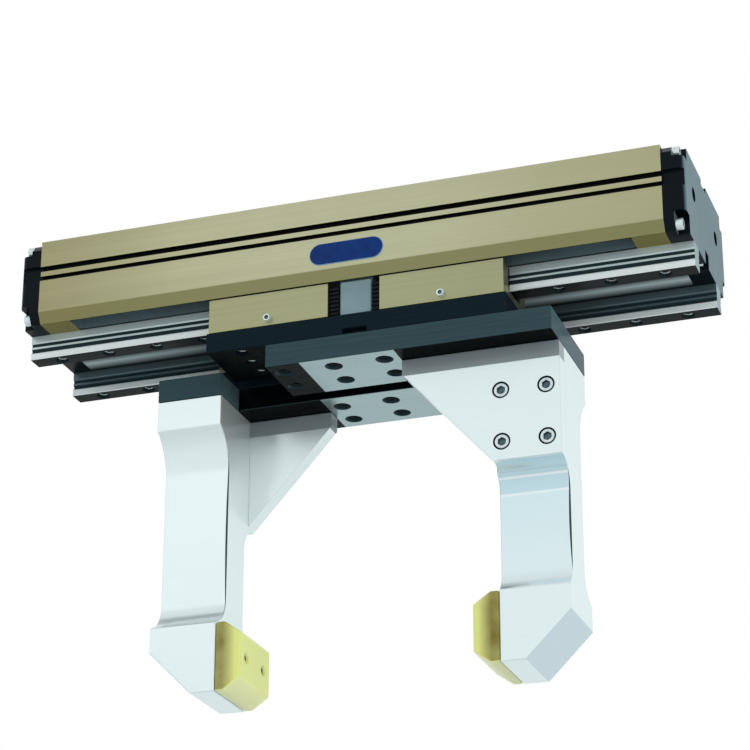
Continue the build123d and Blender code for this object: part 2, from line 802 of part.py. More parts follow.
left_centre, right_centre = carriage_centres
jaw_pieces = {
    "jaw_plate": jaw_plate(),
    "carriage_left": raceways(left_centre),
    "carriage_right": raceways(right_centre),
    "carriage_caps": carriage_caps(),
    "carriage_screws": group(
        socket_screw(m8, carriage_screw_length, carriage_screw_sink), carriage_screw_places
    ),
    "cover_left": cover(left_centre),
    "cover_right": cover(right_centre),
    "cover_screws": group(socket_screw(m5, cover_screw_length, -m5.head_height), cover_screw_places),
    "belt_driver": belt_driver(),
    "belt_clamp": belt_clamp(),
    "belt_clamp_screws": group(socket_screw(m5, clamp_screw_length), clamp_screw_places),
    "wiper_blocks": wiper_blocks(),
}
finger_pieces = {
    "adapter_plate": adapter_plate(),
    "adapter_screws": group(
        socket_screw(m12, adapter_screw_length, adapter_screw_sink), adapter_screw_places
    ),
    "finger": finger(),
    "finger_bolts": group(socket_screw(m12, finger_bolt_length), finger_bolt_places),
    "gusset": gusset(),
    "gusset_screws": group(socket_screw(m10, gusset_screw_length), gusset_screw_places),
    "grip_pad": grip_pad(),
    "pad_screws": group(socket_screw(m5, pad_screw_length, pad_screw_sink), pad_screw_places),
}

# The front jaw carries the right finger; half a turn about Z gives the rear jaw and left finger.
for jaw_name, finger_name, turn in (("front", "right", 0), ("rear", "left", 180)):
    for piece_name, piece in jaw_pieces.items():
        save(piece.rotate(Axis.Z, turn), f"{jaw_name}_{piece_name}")
    for piece_name, piece in finger_pieces.items():
        save(piece.rotate(Axis.Z, turn), f"{finger_name}_{piece_name}")
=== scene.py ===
import math

import bpy
import numpy as np
from mathutils import Matrix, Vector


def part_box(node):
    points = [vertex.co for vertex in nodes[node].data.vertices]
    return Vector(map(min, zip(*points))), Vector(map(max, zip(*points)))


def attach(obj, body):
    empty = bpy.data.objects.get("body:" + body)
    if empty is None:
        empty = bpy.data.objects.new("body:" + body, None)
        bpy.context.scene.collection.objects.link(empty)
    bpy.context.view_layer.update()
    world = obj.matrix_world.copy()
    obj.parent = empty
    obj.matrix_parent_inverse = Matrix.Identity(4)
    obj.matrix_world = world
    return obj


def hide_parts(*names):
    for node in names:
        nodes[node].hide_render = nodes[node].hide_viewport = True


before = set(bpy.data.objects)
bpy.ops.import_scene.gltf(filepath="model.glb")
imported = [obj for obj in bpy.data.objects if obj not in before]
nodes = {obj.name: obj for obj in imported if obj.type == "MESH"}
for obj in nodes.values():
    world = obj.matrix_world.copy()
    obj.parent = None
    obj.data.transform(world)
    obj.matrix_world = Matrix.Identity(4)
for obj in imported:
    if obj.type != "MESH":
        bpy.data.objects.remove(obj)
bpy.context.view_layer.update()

# ------------------------------------------------------------------ housing profile
# The housing is one long aluminium extrusion, brushed along its length and anodised a pale
# gold. It holds the belt drive, carries both rails underneath, and the end plates close it.


def colour(red, green, blue):
    """Linear colour of a paint chip given in 0 to 255 steps, by the sRGB curve."""
    chip = np.array([red, green, blue]) / 255
    linear = np.where(chip <= 0.04045, chip / 12.92, ((chip + 0.055) / 1.055) ** 2.4)
    return (*linear.tolist(), 1.0)


def add_node(tree, kind, values=None, **settings):
    """New shader node; values holds a number, colour or output to link for each named socket."""
    node = tree.nodes.new(kind)
    for name, setting in settings.items():
        setattr(node, name, setting)
    for socket, value in (values or {}).items():
        if isinstance(value, bpy.types.NodeSocket):
            tree.links.new(value, node.inputs[socket])
        else:
            node.inputs[socket].default_value = value
    return node


def new_group(name, inputs, outputs):
    """Empty node group; inputs are (name, socket kind, value), outputs are (name, socket kind)."""
    tree = bpy.data.node_groups.new(name, "ShaderNodeTree")
    for socket, kind, value in inputs:
        made = tree.interface.new_socket(socket, in_out="INPUT", socket_type=kind)
        made.default_value = value
    for socket, kind in outputs:
        tree.interface.new_socket(socket, in_out="OUTPUT", socket_type=kind)
    return tree, tree.nodes.new("NodeGroupInput"), tree.nodes.new("NodeGroupOutput")


def drawn_lines_group():
    """Lines left by a belt or a die: noise whose cells are stretched by the Cells vector."""
    tree, given, result = new_group(
        "drawn lines",
        [("Cells", "NodeSocketVector", (6, 900, 900))],
        [("Line", "NodeSocketFloat"), ("Broad", "NodeSocketFloat")],
    )
    place = add_node(tree, "ShaderNodeTexCoord").outputs["Object"]
    cells = add_node(
        tree, "ShaderNodeVectorMath", {0: place, 1: given.outputs["Cells"]}, operation="MULTIPLY"
    ).outputs["Vector"]
    fine = add_node(
        tree, "ShaderNodeTexNoise",
        {"Vector": cells, "Scale": 1.0, "Detail": 4.0, "Roughness": 0.7},
    ).outputs["Fac"]
    tenth = add_node(
        tree, "ShaderNodeVectorMath", {0: cells, "Scale": 0.11}, operation="SCALE"
    ).outputs["Vector"]
    broad = add_node(
        tree, "ShaderNodeTexNoise", {"Vector": tenth, "Scale": 1.0, "Detail": 2.0}
    ).outputs["Fac"]
    tree.links.new(fine, result.inputs["Line"])
    tree.links.new(broad, result.inputs["Broad"])
    return tree


def handling_group():
    """Slow cloudiness of a handled surface: one soft noise and one finer noise for specks."""
    tree, given, result = new_group(
        "handling",
        [("Size", "NodeSocketFloat", 9.0)],
        [("Cloud", "NodeSocketFloat"), ("Speck", "NodeSocketFloat")],
    )
    place = add_node(tree, "ShaderNodeTexCoord").outputs["Object"]
    cloud = add_node(
        tree, "ShaderNodeTexNoise",
        {"Vector": place, "Scale": given.outputs["Size"], "Detail": 3.0, "Roughness": 0.55},
    ).outputs["Fac"]
    speck = add_node(
        tree, "ShaderNodeTexNoise", {"Vector": place, "Scale": 2600.0, "Detail": 2.0}
    ).outputs["Fac"]
    tree.links.new(cloud, result.inputs["Cloud"])
    tree.links.new(speck, result.inputs["Speck"])
    return tree


# Edge mask: it marks real wear on the gold and the fingers, and places a painted edge highlight on the
# dark coats.
def edge_wear_and_sheen_group():
    """Edge mask: one minus the dot product of the true normal and the rounded-edge normal."""
    tree, given, result = new_group(
        "edge wear and sheen",
        [("Radius", "NodeSocketFloat", 0.0008), ("Strength", "NodeSocketFloat", 4.0)],
        [("Edge", "NodeSocketFloat")],
    )
    rounded = add_node(
        tree, "ShaderNodeBevel", {"Radius": given.outputs["Radius"]}, samples=4
    ).outputs["Normal"]
    flat = add_node(tree, "ShaderNodeNewGeometry").outputs["Normal"]
    match = add_node(
        tree, "ShaderNodeVectorMath", {0: rounded, 1: flat}, operation="DOT_PRODUCT"
    ).outputs["Value"]
    away = add_node(tree, "ShaderNodeMath", {0: 1.0, 1: match}, operation="SUBTRACT").outputs[0]
    edge = add_node(
        tree, "ShaderNodeMath", {0: away, 1: given.outputs["Strength"]},
        operation="MULTIPLY", use_clamp=True,
    ).outputs[0]
    tree.links.new(edge, result.inputs["Edge"])
    return tree


drawn_lines = drawn_lines_group()
handling = handling_group()
edge_wear_and_sheen = edge_wear_and_sheen_group()


def use_group(tree, group, **values):
    """Group node with its inputs set; returns its outputs."""
    placed = add_node(tree, "ShaderNodeGroup", node_tree=group)
    for socket, value in values.items():
        placed.inputs[socket].default_value = value
    return placed.outputs


def blend_colours(tree, mask, first, second):
    """Colour that goes from first to second with the mask."""
    mixed = add_node(
        tree, "ShaderNodeMix", {"Factor": mask, "A": first, "B": second}, data_type="RGBA"
    )
    return mixed.outputs["Result"]


def spread(tree, value, low, high, from_low=0.3, from_high=0.7):
    """The value's usual range mapped to low..high."""
    return add_node(
        tree, "ShaderNodeMapRange",
        {"Value": value, "From Min": from_low, "From Max": from_high, "To Min": low, "To Max": high},
    ).outputs["Result"]


def mottled(tree, noise, first, second):
    """Colour that wanders between two tones, in 0 to 255 steps, with a noise."""
    return blend_colours(tree, spread(tree, noise, 0, 1), colour(*first), colour(*second))


def new_finish(name, base, roughness, metallic, **plain):
    """Material with one Principled shader and plain values on its sockets."""
    material = bpy.data.materials.new(name)
    material.use_nodes = True
    tree = material.node_tree
    shader = next(node for node in tree.nodes if node.type == "BSDF_PRINCIPLED")
    shader.inputs["Base Color"].default_value = base
    shader.inputs["Roughness"].default_value = roughness
    shader.inputs["Metallic"].default_value = metallic
    for socket, value in plain.items():
        shader.inputs[socket.replace("_", " ")].default_value = value
    return material, tree, shader


def bump(tree, shader, height, strength, distance):
    """Feeds a height in metres to the shader's normal."""
    raised = add_node(
        tree, "ShaderNodeBump", {"Height": height, "Strength": strength, "Distance": distance}
    )
    tree.links.new(raised.outputs["Normal"], shader.inputs["Normal"])


def coordinates(tree):
    """X, Y and Z outputs of the place on the object, in metres."""
    place = add_node(tree, "ShaderNodeTexCoord").outputs["Object"]
    return add_node(tree, "ShaderNodeSeparateXYZ", {0: place}).outputs


def formula(tree, operation, *values):
    """Output of one Math node."""
    return add_node(
        tree, "ShaderNodeMath", dict(enumerate(values)), operation=operation
    ).outputs[0]


def within(tree, value, low, high):
    """One where the value lies between low and high, and zero elsewhere."""
    return formula(tree, "COMPARE", value, (low + high) / 2, (high - low) / 2)


def facing(tree):
    """The true normal's X, Y and Z."""
    normal = add_node(tree, "ShaderNodeNewGeometry").outputs["True Normal"]
    return add_node(tree, "ShaderNodeSeparateXYZ", {0: normal}).outputs


def on_end_face(tree):
    """Mask of the faces that look along X, from the size of the normal's X."""
    along = formula(tree, "ABSOLUTE", facing(tree)["X"])
    return spread(tree, along, 0, 1, 0.7, 0.95)


def brushed_gold(name, light, shade):
    """Gold anodised layer on brushed aluminium: lines along X vary colour, gloss and height.

    Shade is painted along X in a slow fall: palest in the middle third, deeper towards both ends and
    deepest at the left one. Corners wear to a brown.
    """
    material, tree, shader = new_finish(name, light, 0.4, 1.0)
    lines = use_group(tree, drawn_lines, Cells=(3.5, 1500, 1500))
    cloud = use_group(tree, handling, Size=5.0)["Cloud"]
    along = coordinates(tree)["X"]
    # Painted shade: the tone darkens towards both ends along X, most at the left end.
    left_painted_shade = spread(tree, along, 1, 0, -0.36, -0.08)
    right_painted_shade = spread(tree, along, 0, 0.7, 0.10, 0.36)
    painted_shade_along_x = formula(tree, "MAXIMUM", left_painted_shade, right_painted_shade)
    far_left_painted_shade = spread(tree, along, 0.6, 0, -0.38, -0.2)
    shaded_along_x = blend_colours(tree, painted_shade_along_x, light, shade)
    shaded_at_left_end = blend_colours(tree, far_left_painted_shade, shaded_along_x, colour(146, 136, 100))
    line = spread(tree, lines["Line"], 0, 0.5)
    streaked = blend_colours(tree, line, shaded_at_left_end, shade)
    patched = blend_colours(tree, spread(tree, cloud, 0, 0.3), streaked, shade)
    edge = use_group(tree, edge_wear_and_sheen, Radius=0.0007, Strength=1.2)["Edge"]
    skin = blend_colours(tree, edge, patched, colour(116, 112, 70))
    tree.links.new(spread(tree, lines["Broad"], 0.34, 0.46), shader.inputs["Roughness"])
    bump(tree, shader, lines["Line"], 0.3, 0.00005)
    return material, tree, shader, skin


CHAMFER_DEEP = 0.0075
CHAMFER_HIGH = 0.0130
GROOVE_DEEP = 0.0075
KEY_GROOVE_HALF = 0.0125
KEY_GROOVE_DEEP = 0.0075
SKIN = 0.0010
FLAT = 0.0002


def inside_profile(tree, place, side, upward):
    """Mask of the bores, slots and grooves.

    A point is inside when it lies below the top and its groove, and closer to the middle than
    the outer skin: 1.5 mm in from the side, and 1 mm in from the line of the lower chamfer.
    """
    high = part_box("housing_profile")[1]
    off_side = formula(tree, "LESS_THAN", side, high.y - 1.5 * SKIN)
    across = formula(tree, "SUBTRACT", side, high.y - CHAMFER_DEEP)
    slanted = formula(
        tree, "ADD", formula(tree, "MULTIPLY", across, CHAMFER_HIGH),
        formula(tree, "MULTIPLY", upward, -CHAMFER_DEEP),
    )
    chamfer_length = math.hypot(CHAMFER_DEEP, CHAMFER_HIGH)
    off_chamfer = formula(tree, "LESS_THAN", slanted, -SKIN * chamfer_length)
    off_key = formula(tree, "GREATER_THAN", side, KEY_GROOVE_HALF)
    deep = formula(tree, "LESS_THAN", place["Z"], -KEY_GROOVE_DEEP)
    shallow = formula(tree, "LESS_THAN", place["Z"], -SKIN)
    below_top = formula(tree, "MAXIMUM", deep, formula(tree, "MULTIPLY", off_key, shallow))
    return formula(
        tree, "MULTIPLY", formula(tree, "MULTIPLY", off_side, off_chamfer), below_top
    )


def underside_painted_shade(tree, place, side):
    """Painted shade over the underside, with a painted light stripe each side of the middle, and
    darker gold past the jaw slots.
    """
    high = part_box("housing_profile")[1]
    slot_to_end = 0.0375
    past_slots = formula(
        tree, "GREATER_THAN", formula(tree, "ABSOLUTE", place["X"]), high.x - slot_to_end
    )
    beside_rail = formula(tree, "GREATER_THAN", side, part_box("rear_rail")[1].y)
    corner = formula(tree, "MULTIPLY", past_slots, beside_rail)
    stripe_start, stripe_middle, stripe_end = 0.012, 0.024, 0.042
    # Painted reflection: a pale stripe each side of the middle of the underside.
    painted_sheen = formula(
        tree, "MULTIPLY", spread(tree, side, 0, 1, stripe_start, stripe_middle),
        spread(tree, side, 1, 0, stripe_middle, stripe_end),
    )
    # Painted shade: the underside is near-black, and a darker gold at the corners past the slots.
    shade_with_stripe = blend_colours(tree, painted_sheen, colour(14, 22, 26), colour(190, 204, 208))
    return blend_colours(tree, corner, shade_with_stripe, colour(128, 120, 68))


def housing_gold():
    """Gold outside, with painted shade: more olive on the chamfer, dark inside, and a dark underside
    with a painted light stripe.
    """
    low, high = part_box("housing_profile")
    material, tree, shader, skin = brushed_gold(
        "gold_anodised_brushed", colour(214, 209, 176), colour(184, 174, 134)
    )
    place = coordinates(tree)
    side = formula(tree, "ABSOLUTE", place["Y"])
    upward = formula(tree, "SUBTRACT", place["Z"], low.z)
    inside = inside_profile(tree, place, side, upward)
    # Painted shade: the lower chamfer is coloured a darker olive than the front.
    chamfer_shaded = spread(tree, upward, 0.8, 0, CHAMFER_HIGH - SKIN / 2, CHAMFER_HIGH + SKIN / 2)
    outside = blend_colours(tree, chamfer_shaded, skin, colour(140, 132, 84))
    # Painted shade inside the profile: blue-grey in the sensor grooves and near-black in the bores.
    in_groove = formula(tree, "GREATER_THAN", side, high.y - GROOVE_DEEP)
    bore_shade = blend_colours(tree, in_groove, colour(104, 121, 127), colour(16, 18, 15))
    closed = blend_colours(tree, inside, outside, bore_shade)
    # The underside takes the painted shade and stripe in place of the gold.
    underside = formula(tree, "LESS_THAN", upward, FLAT)
    tree.links.new(
        blend_colours(tree, underside, closed, underside_painted_shade(tree, place, side)),
        shader.inputs["Base Color"],
    )
    tree.links.new(spread(tree, inside, 1.0, 0.1, 0, 1), shader.inputs["Metallic"])
    shader.inputs["Specular IOR Level"].default_value = 0.1
    return material


def give(material, *names):
    """Puts a material on CAD nodes in place of their plain one."""
    for name in names:
        for material_slot in nodes[name].material_slots:
            material_slot.material = material


give(housing_gold(), "housing_profile")

# ------------------------------------------------------------------ end plates and flange
# Two cast plates with rounded outer edges close the housing. They are sprayed with a fine
# black satin coat, as is the flange ring that centres the motor in the top face.


def satin_black():
    """Sprayed black coat: a fine orange-peel height, with edges painted paler as a highlight and end
    faces painted grey-blue as a reflection.
    """
    material, tree, shader = new_finish(
        "end_plate_satin_black", colour(8, 17, 21), 0.3, 0.0, Specular_IOR_Level=0.08
    )
    marks = use_group(tree, handling, Size=14.0)
    edge = use_group(tree, edge_wear_and_sheen, Radius=0.0009, Strength=1.6)["Edge"]
    tone = mottled(tree, marks["Cloud"], (6, 14, 18), (13, 23, 28))
    # Painted highlight: the edges are coloured paler.
    coat = blend_colours(tree, edge, tone, colour(40, 52, 58))
    # Painted reflection: faces that look along X are coloured grey-blue.
    painted_sheen = mottled(tree, marks["Cloud"], (84, 108, 116), (96, 120, 127))
    tree.links.new(
        blend_colours(tree, on_end_face(tree), coat, painted_sheen), shader.inputs["Base Color"]
    )
    tree.links.new(spread(tree, marks["Cloud"], 0.26, 0.36), shader.inputs["Roughness"])
    bump(tree, shader, marks["Speck"], 0.25, 0.00008)
    return material


give(satin_black(), "left_end_plate", "right_end_plate", "motor_flange")

# ------------------------------------------------------------------ guide rails
# The rails are hardened steel bars with two ball grooves on each side, ground bright along
# their length. Their grooves and their underside, where the screws are sunk, are painted dark as
# shade.


def ground_steel(rail, head, foot):
    """Ground steel with lines along X; its ball grooves and its underside are painted dark as shade.

    The grooves are where the skin lies more than 1.2 mm inside the rail's widest faces. The
    head's tone holds down to 12 mm above the underside, and the foot's tone below that; the two
    tones are painted light and shade, and the end faces are painted paler as a reflection.
    """
    groove_from, foot_high, cap = 0.0012, 0.0120, 0.0003
    low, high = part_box(rail)
    middle, half = (low.y + high.y) / 2, (high.y - low.y) / 2
    material, tree, shader = new_finish(
        f"{rail}_ground_steel", foot, 0.36, 0.4, Specular_IOR_Level=0.05
    )
    lines = use_group(tree, drawn_lines, Cells=(5, 2200, 2200))
    place = coordinates(tree)
    foot_top = low.z + foot_high
    at_foot = spread(tree, place["Z"], 1, 0, foot_top - FLAT, foot_top + FLAT)
    # Painted light and shade: the head and the foot take two tones of one steel.
    plain = blend_colours(tree, at_foot, head, foot)
    streaked = blend_colours(
        tree, spread(tree, lines["Line"], 0.22, 0), plain, colour(96, 110, 114)
    )
    # Painted reflection: the end faces are coloured paler.
    painted_sheen = blend_colours(tree, on_end_face(tree), streaked, colour(158, 172, 175))
    off_middle = formula(tree, "ABSOLUTE", formula(tree, "SUBTRACT", place["Y"], middle))
    sunk = formula(tree, "LESS_THAN", off_middle, half - groove_from)
    length = formula(tree, "ABSOLUTE", place["X"])
    off_end = formula(tree, "LESS_THAN", length, high.x - cap)
    groove = formula(tree, "MULTIPLY", sunk, off_end)
    below = formula(tree, "LESS_THAN", place["Z"], low.z + cap)
    dark = formula(tree, "MAXIMUM", groove, below)
    # Painted shade: the ball grooves are coloured dark.
    grooved = blend_colours(tree, groove, painted_sheen, colour(40, 56, 62))
    # Painted shade: the underside is coloured near-black.
    tree.links.new(
        blend_colours(tree, below, grooved, colour(9, 15, 18)), shader.inputs["Base Color"]
    )
    bare = formula(tree, "SUBTRACT", 1.0, dark)
    metal = formula(tree, "MULTIPLY", bare, spread(tree, at_foot, 0.45, 0.1, 0, 1))
    tree.links.new(metal, shader.inputs["Metallic"])
    tree.links.new(spread(tree, lines["Broad"], 0.3, 0.42), shader.inputs["Roughness"])
    bump(tree, shader, lines["Line"], 0.3, 0.00004)
    return material


# The head and foot tones are painted light and shade; the rear rail's head is painted dark as shade.
give(ground_steel("front_rail", colour(226, 235, 236), colour(254, 255, 255)), "front_rail")
give(ground_steel("rear_rail", colour(96, 112, 118), colour(250, 253, 253)), "rear_rail")

# ------------------------------------------------------------------ belt drive inside the housing
# A rubber belt with moulded teeth runs round two toothed pulleys, one on the hollow motor
# shaft and one on a fixed axle. Grey milled blocks hold the bearings at the two ends.


def blasted_grey():
    """Bead-blasted aluminium: tiny dents in the height, slight clouding in the gloss."""
    material, tree, shader = new_finish("driver_blasted_grey", colour(134, 154, 160), 0.45, 0.6)
    marks = use_group(tree, handling, Size=22.0)
    tone = mottled(tree, marks["Cloud"], (126, 148, 154), (146, 166, 171))
    tree.links.new(tone, shader.inputs["Base Color"])
    tree.links.new(spread(tree, marks["Speck"], 0.42, 0.56), shader.inputs["Roughness"])
    bump(tree, shader, marks["Speck"], 0.3, 0.0001)
    return material


def turned_steel():
    """Turned bearing steel with faint rings of tone."""
    material, tree, shader = new_finish("turned_steel", colour(176, 180, 183), 0.28, 1.0)
    lines = use_group(tree, drawn_lines, Cells=(700, 700, 700))
    tone = mottled(tree, lines["Line"], (160, 165, 168), (196, 200, 202))
    tree.links.new(tone, shader.inputs["Base Color"])
    tree.links.new(spread(tree, lines["Line"], 0.2, 0.34), shader.inputs["Roughness"])
    return material


def belt_rubber():
    """Black moulded rubber with a dusty bloom."""
    material, tree, shader = new_finish("belt_black_rubber", colour(26, 26, 27), 0.7, 0.0)
    marks = use_group(tree, handling, Size=30.0)
    tone = mottled(tree, marks["Cloud"], (20, 20, 21), (44, 44, 45))
    tree.links.new(tone, shader.inputs["Base Color"])
    bump(tree, shader, marks["Speck"], 0.3, 0.0001)
    return material


def surface(name, points, faces, material, sharp=30):
    """Object at the origin from points in metres and faces; smooth except past the sharp angle."""
    mesh = bpy.data.meshes.new(name)
    mesh.from_pydata(np.asarray(points).tolist(), [], [list(face) for face in faces])
    mesh.polygons.foreach_set("use_smooth", np.ones(len(mesh.polygons), dtype=bool))
    mesh.set_sharp_from_angle(angle=math.radians(sharp))
    mesh.materials.append(material)
    made = bpy.data.objects.new(name, mesh)
    bpy.context.scene.collection.objects.link(made)
    return made


def ring_faces(rings, around):
    """Quads between neighbouring rings of the same number of points, each ring closed."""
    ring = np.arange(rings - 1)[:, None] * around
    step = np.arange(around)[None, :]
    beside = (step + 1) % around
    corners = (ring + step, ring + beside, ring + around + beside, ring + around + step)
    return np.stack(corners, axis=-1).reshape(-1, 4)


def closing_faces(rings, around):
    """Quads from the last ring back to the first one."""
    step = np.arange(around)
    beside = (step + 1) % around
    last = (rings - 1) * around
    return np.stack([last + step, last + beside, beside, step], axis=-1)


def belt_loop(centre_x, pitch_radius, height_low, height_high, back, tooth_height, tooth_count):
    """Toothed belt round two equal pulleys.

    A point at distance s along the loop lies on a straight run or on one of two half circles.
    The outer face is at the back radius; the inner face drops by a raised cosine at each tooth.
    """
    run = 2 * centre_x
    length = 2 * run + 2 * math.pi * pitch_radius
    points_per_tooth = 8
    s = np.linspace(0, length, tooth_count * points_per_tooth, endpoint=False)
    half_turn = math.pi * pitch_radius
    on_front = s < run
    on_right = (s >= run) & (s < run + half_turn)
    on_back = (s >= run + half_turn) & (s < 2 * run + half_turn)
    angle_right = -math.pi / 2 + (s - run) / pitch_radius
    angle_left = math.pi / 2 + (s - 2 * run - half_turn) / pitch_radius
    stretches = [on_front, on_right, on_back]
    turn = np.select(stretches, [-math.pi / 2, angle_right, math.pi / 2], angle_left)
    middle_x = np.select(
        stretches, [s - centre_x, centre_x, centre_x - (s - run - half_turn)], -centre_x
    )
    phase = 2 * math.pi * s * tooth_count / length
    tooth = tooth_height * np.clip(0.5 + 0.9 * np.cos(phase), 0, 1)
    inner = pitch_radius - tooth
    outer = np.full_like(s, pitch_radius + back)
    rings = []
    corners = (
        (inner, height_low), (outer, height_low), (outer, height_high), (inner, height_high)
    )
    for radius, z in corners:
        x = middle_x + radius * np.cos(turn)
        y = radius * np.sin(turn)
        rings.append(np.stack([x, y, np.full_like(s, z)], axis=-1))
    around = len(s)
    faces = np.concatenate([ring_faces(4, around), closing_faces(4, around)])
    return np.concatenate(rings), faces


belt_low, belt_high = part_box("toothed_belt")
belt_outer = belt_high.y
pulley_low, pulley_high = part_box("idler_pulley")
pulley_x = (pulley_low.x + pulley_high.x) / 2
belt_back = 0.0012
tooth_drop = 0.0019
belt_teeth = 155
belt_points, belt_faces = belt_loop(
    pulley_x, belt_outer - belt_back, belt_low.z, belt_high.z, belt_back, tooth_drop, belt_teeth
)
belt = surface("drive_belt_with_teeth", belt_points, belt_faces, belt_rubber())
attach(belt, "housing")
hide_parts("toothed_belt")

grey = blasted_grey()
steel = turned_steel()
give(grey, "drive_bearing_block", "idler_bearing_block", "drive_pulley", "idler_pulley")
give(steel, "drive_bearings", "idler_bearings", "idler_axle", "drive_shaft")

# ------------------------------------------------------------------ socket head screws
# Zinc plated cap screws hold everything together, black ones the adapters and yellow plated
# ones the pads. Each has a knurled head with a rounded rim and a broached hexagon socket.


def plated_steel(name, dull, bright):
    """Zinc plate: slightly cloudy, duller in patches, and painted shade in grey-blue down in the
    socket.

    The socket is known by the point attribute of that name, which the screws carry.
    """
    material, tree, shader = new_finish(name, bright, 0.26, 0.7)
    marks = use_group(tree, handling, Size=160.0)
    plated = blend_colours(tree, spread(tree, marks["Cloud"], 0, 1), dull, bright)
    socket = add_node(tree, "ShaderNodeAttribute")
    socket.attribute_name = "socket"
    # Painted shade: the socket is coloured a darker grey-blue.
    tone = blend_colours(tree, socket.outputs["Fac"], plated, colour(92, 112, 122))
    tree.links.new(tone, shader.inputs["Base Color"])
    tree.links.new(spread(tree, marks["Cloud"], 0.18, 0.34), shader.inputs["Roughness"])
    return material


def black_oxide():
    """Oiled black oxide on screw steel."""
    material, tree, shader = new_finish("screw_black_oxide", colour(26, 28, 30), 0.35, 0.6)
    marks = use_group(tree, handling, Size=160.0)
    tone = mottled(tree, marks["Cloud"], (18, 20, 22), (42, 46, 49))
    tree.links.new(tone, shader.inputs["Base Color"])
    tree.links.new(spread(tree, marks["Cloud"], 0.28, 0.44), shader.inputs["Roughness"])
    return material


zinc = plated_steel("screw_zinc_plate", colour(214, 222, 225), colour(242, 246, 247))
olive = plated_steel("screw_yellow_zinc_plate", colour(150, 146, 62), colour(188, 184, 96))
oxide = black_oxide()
AROUND = 48
SOCKET_RINGS = 3


def screw_points(head_radius, head_height, shank_radius, shank_length):
    """Rings of a cap screw along -Z, its head's top at zero.

    A ring's radius is its profile value; the socket's rings are a hexagon, whose radius is the
    apothem over the cosine of the angle from the middle of the nearest flat. The head's side
    rings carry a knurl: every other point stands out by a hundredth of the radius.
    """
    angle = np.linspace(0, 2 * math.pi, AROUND, endpoint=False)
    to_flat = (angle % (math.pi / 3)) - math.pi / 6
    hexagon = 1 / np.cos(to_flat)
    knurl = 1 + 0.012 * (np.arange(AROUND) % 2)
    apothem = 0.52 * head_radius
    depth = 0.5 * head_height
    rim = 0.08 * head_radius
    ones = np.ones(AROUND)
    profile = [
        (0.02 * apothem * ones, -1.25 * depth),
        (apothem * hexagon, -depth),
        (apothem * hexagon, -rim),
        (1.2 * apothem * ones, 0),
        ((head_radius - 1.6 * rim) * ones, 0),
        ((head_radius - 0.5 * rim) * ones, -0.4 * rim),
        (head_radius * 0.99 * knurl, -1.4 * rim),
        (head_radius * 0.99 * knurl, -0.88 * head_height),
        (head_radius * 0.96 * ones, -head_height),
        (shank_radius * ones, -head_height),
        (shank_radius * ones, -head_height - shank_length + 0.5 * shank_radius),
        (0.8 * shank_radius * ones, -head_height - shank_length),
        (0.02 * shank_radius * ones, -head_height - shank_length),
    ]
    rings = [
        np.stack([radius * np.cos(angle), radius * np.sin(angle), z * ones], axis=-1)
        for radius, z in profile
    ]
    return np.concatenate(rings), len(profile)


def turned_to(points, axis):
    """Points with +Z turned to the given axis direction, keeping them right-handed."""
    up = np.array(axis, float)
    side = np.cross(up, (1, 0, 0) if abs(up[0]) < 0.5 else (0, 1, 0))
    side /= np.linalg.norm(side)
    return points @ np.stack([side, np.cross(up, side), up])


def screws(name, node, body, material, size, length, places):
    """All the screws of one CAD node as one piece; places are (head top position, outward axis)."""
    points, rings = screw_points(*size, length)
    faces = ring_faces(rings, AROUND)
    start = np.arange(AROUND)[::-1]
    all_points = [turned_to(points, axis) + np.array(place) for place, axis in places]
    all_faces = []
    for index in range(len(places)):
        base = index * len(points)
        all_faces += (faces[:, ::-1] + base).tolist()
        all_faces.append((start[::-1] + base).tolist())
        all_faces.append((start + base + (rings - 1) * AROUND).tolist())
    made = surface(name, np.concatenate(all_points), all_faces, material, sharp=35)
    in_socket = np.repeat([1.0, 0.0], [SOCKET_RINGS * AROUND, (rings - SOCKET_RINGS) * AROUND])
    socket = made.data.attributes.new("socket", "FLOAT", "POINT")
    socket.data.foreach_set("value", np.tile(in_socket, len(places)))
    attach(made, body)
    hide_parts(node)
    return made


# Head radius, head height and shank radius of each size.
M5 = (0.00425, 0.005, 0.0025)
M8 = (0.0065, 0.008, 0.004)
M10 = (0.008, 0.010, 0.005)
M12 = (0.009, 0.012, 0.006)


def between(low, high, count, margin):
    """Evenly spaced middles of count equal things that fill low..high, each margin from the end."""
    return np.linspace(low + margin, high - margin, count)


low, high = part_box("end_plate_screws")
head = M8[0]
end_places = [
    ((side * high.x, y, z), (side, 0, 0))
    for side in (-1, 1)
    for y, z in (
        (low.y + head, high.z - head), (high.y - head, high.z - head),
        (low.y + head, low.z + head), (high.y - head, low.z + head), (0, low.z + head),
    )
]
screws("end_plate_cap_screws", "end_plate_screws", "housing", zinc, M8, 0.042, end_places)

low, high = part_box("rail_screws")
rail_places = [
    ((x, y, low.z), (0, 0, -1))
    for y in (low.y + head, high.y - head)
    for x in between(low.x, high.x, 13, head)
]
screws("rail_cap_screws", "rail_screws", "housing", zinc, M8, 0.026, rail_places)

jaws = {"front": 1, "rear": -1}
carriage_screw_step = 0.035
for jaw in jaws:
    body = f"{jaw}_jaw"
    low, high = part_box(f"{jaw}_carriage_screws")
    rows_y = np.linspace(low.y + head, high.y - head, 3)
    carriage_places = []
    for side in ("left", "right"):
        first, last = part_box(f"{jaw}_cover_{side}")
        middle = (first.x + last.x) / 2
        carriage_places += [
            ((middle + step, y, low.z), (0, 0, -1))
            for step in (-carriage_screw_step, carriage_screw_step) for y in rows_y
        ]
    screws(
        f"{jaw}_carriage_cap_screws", f"{jaw}_carriage_screws", body, zinc, M8, 0.020, carriage_places
    )
    low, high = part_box(f"{jaw}_cover_screws")
    out = -jaws[jaw]
    front_y = low.y if out < 0 else high.y
    cover_places = [
        ((x, front_y, (low.z + high.z) / 2), (0, out, 0)) for x in (low.x + M5[0], high.x - M5[0])
    ]
    screws(f"{jaw}_cover_cap_screws", f"{jaw}_cover_screws", body, zinc, M5, 0.012, cover_places)

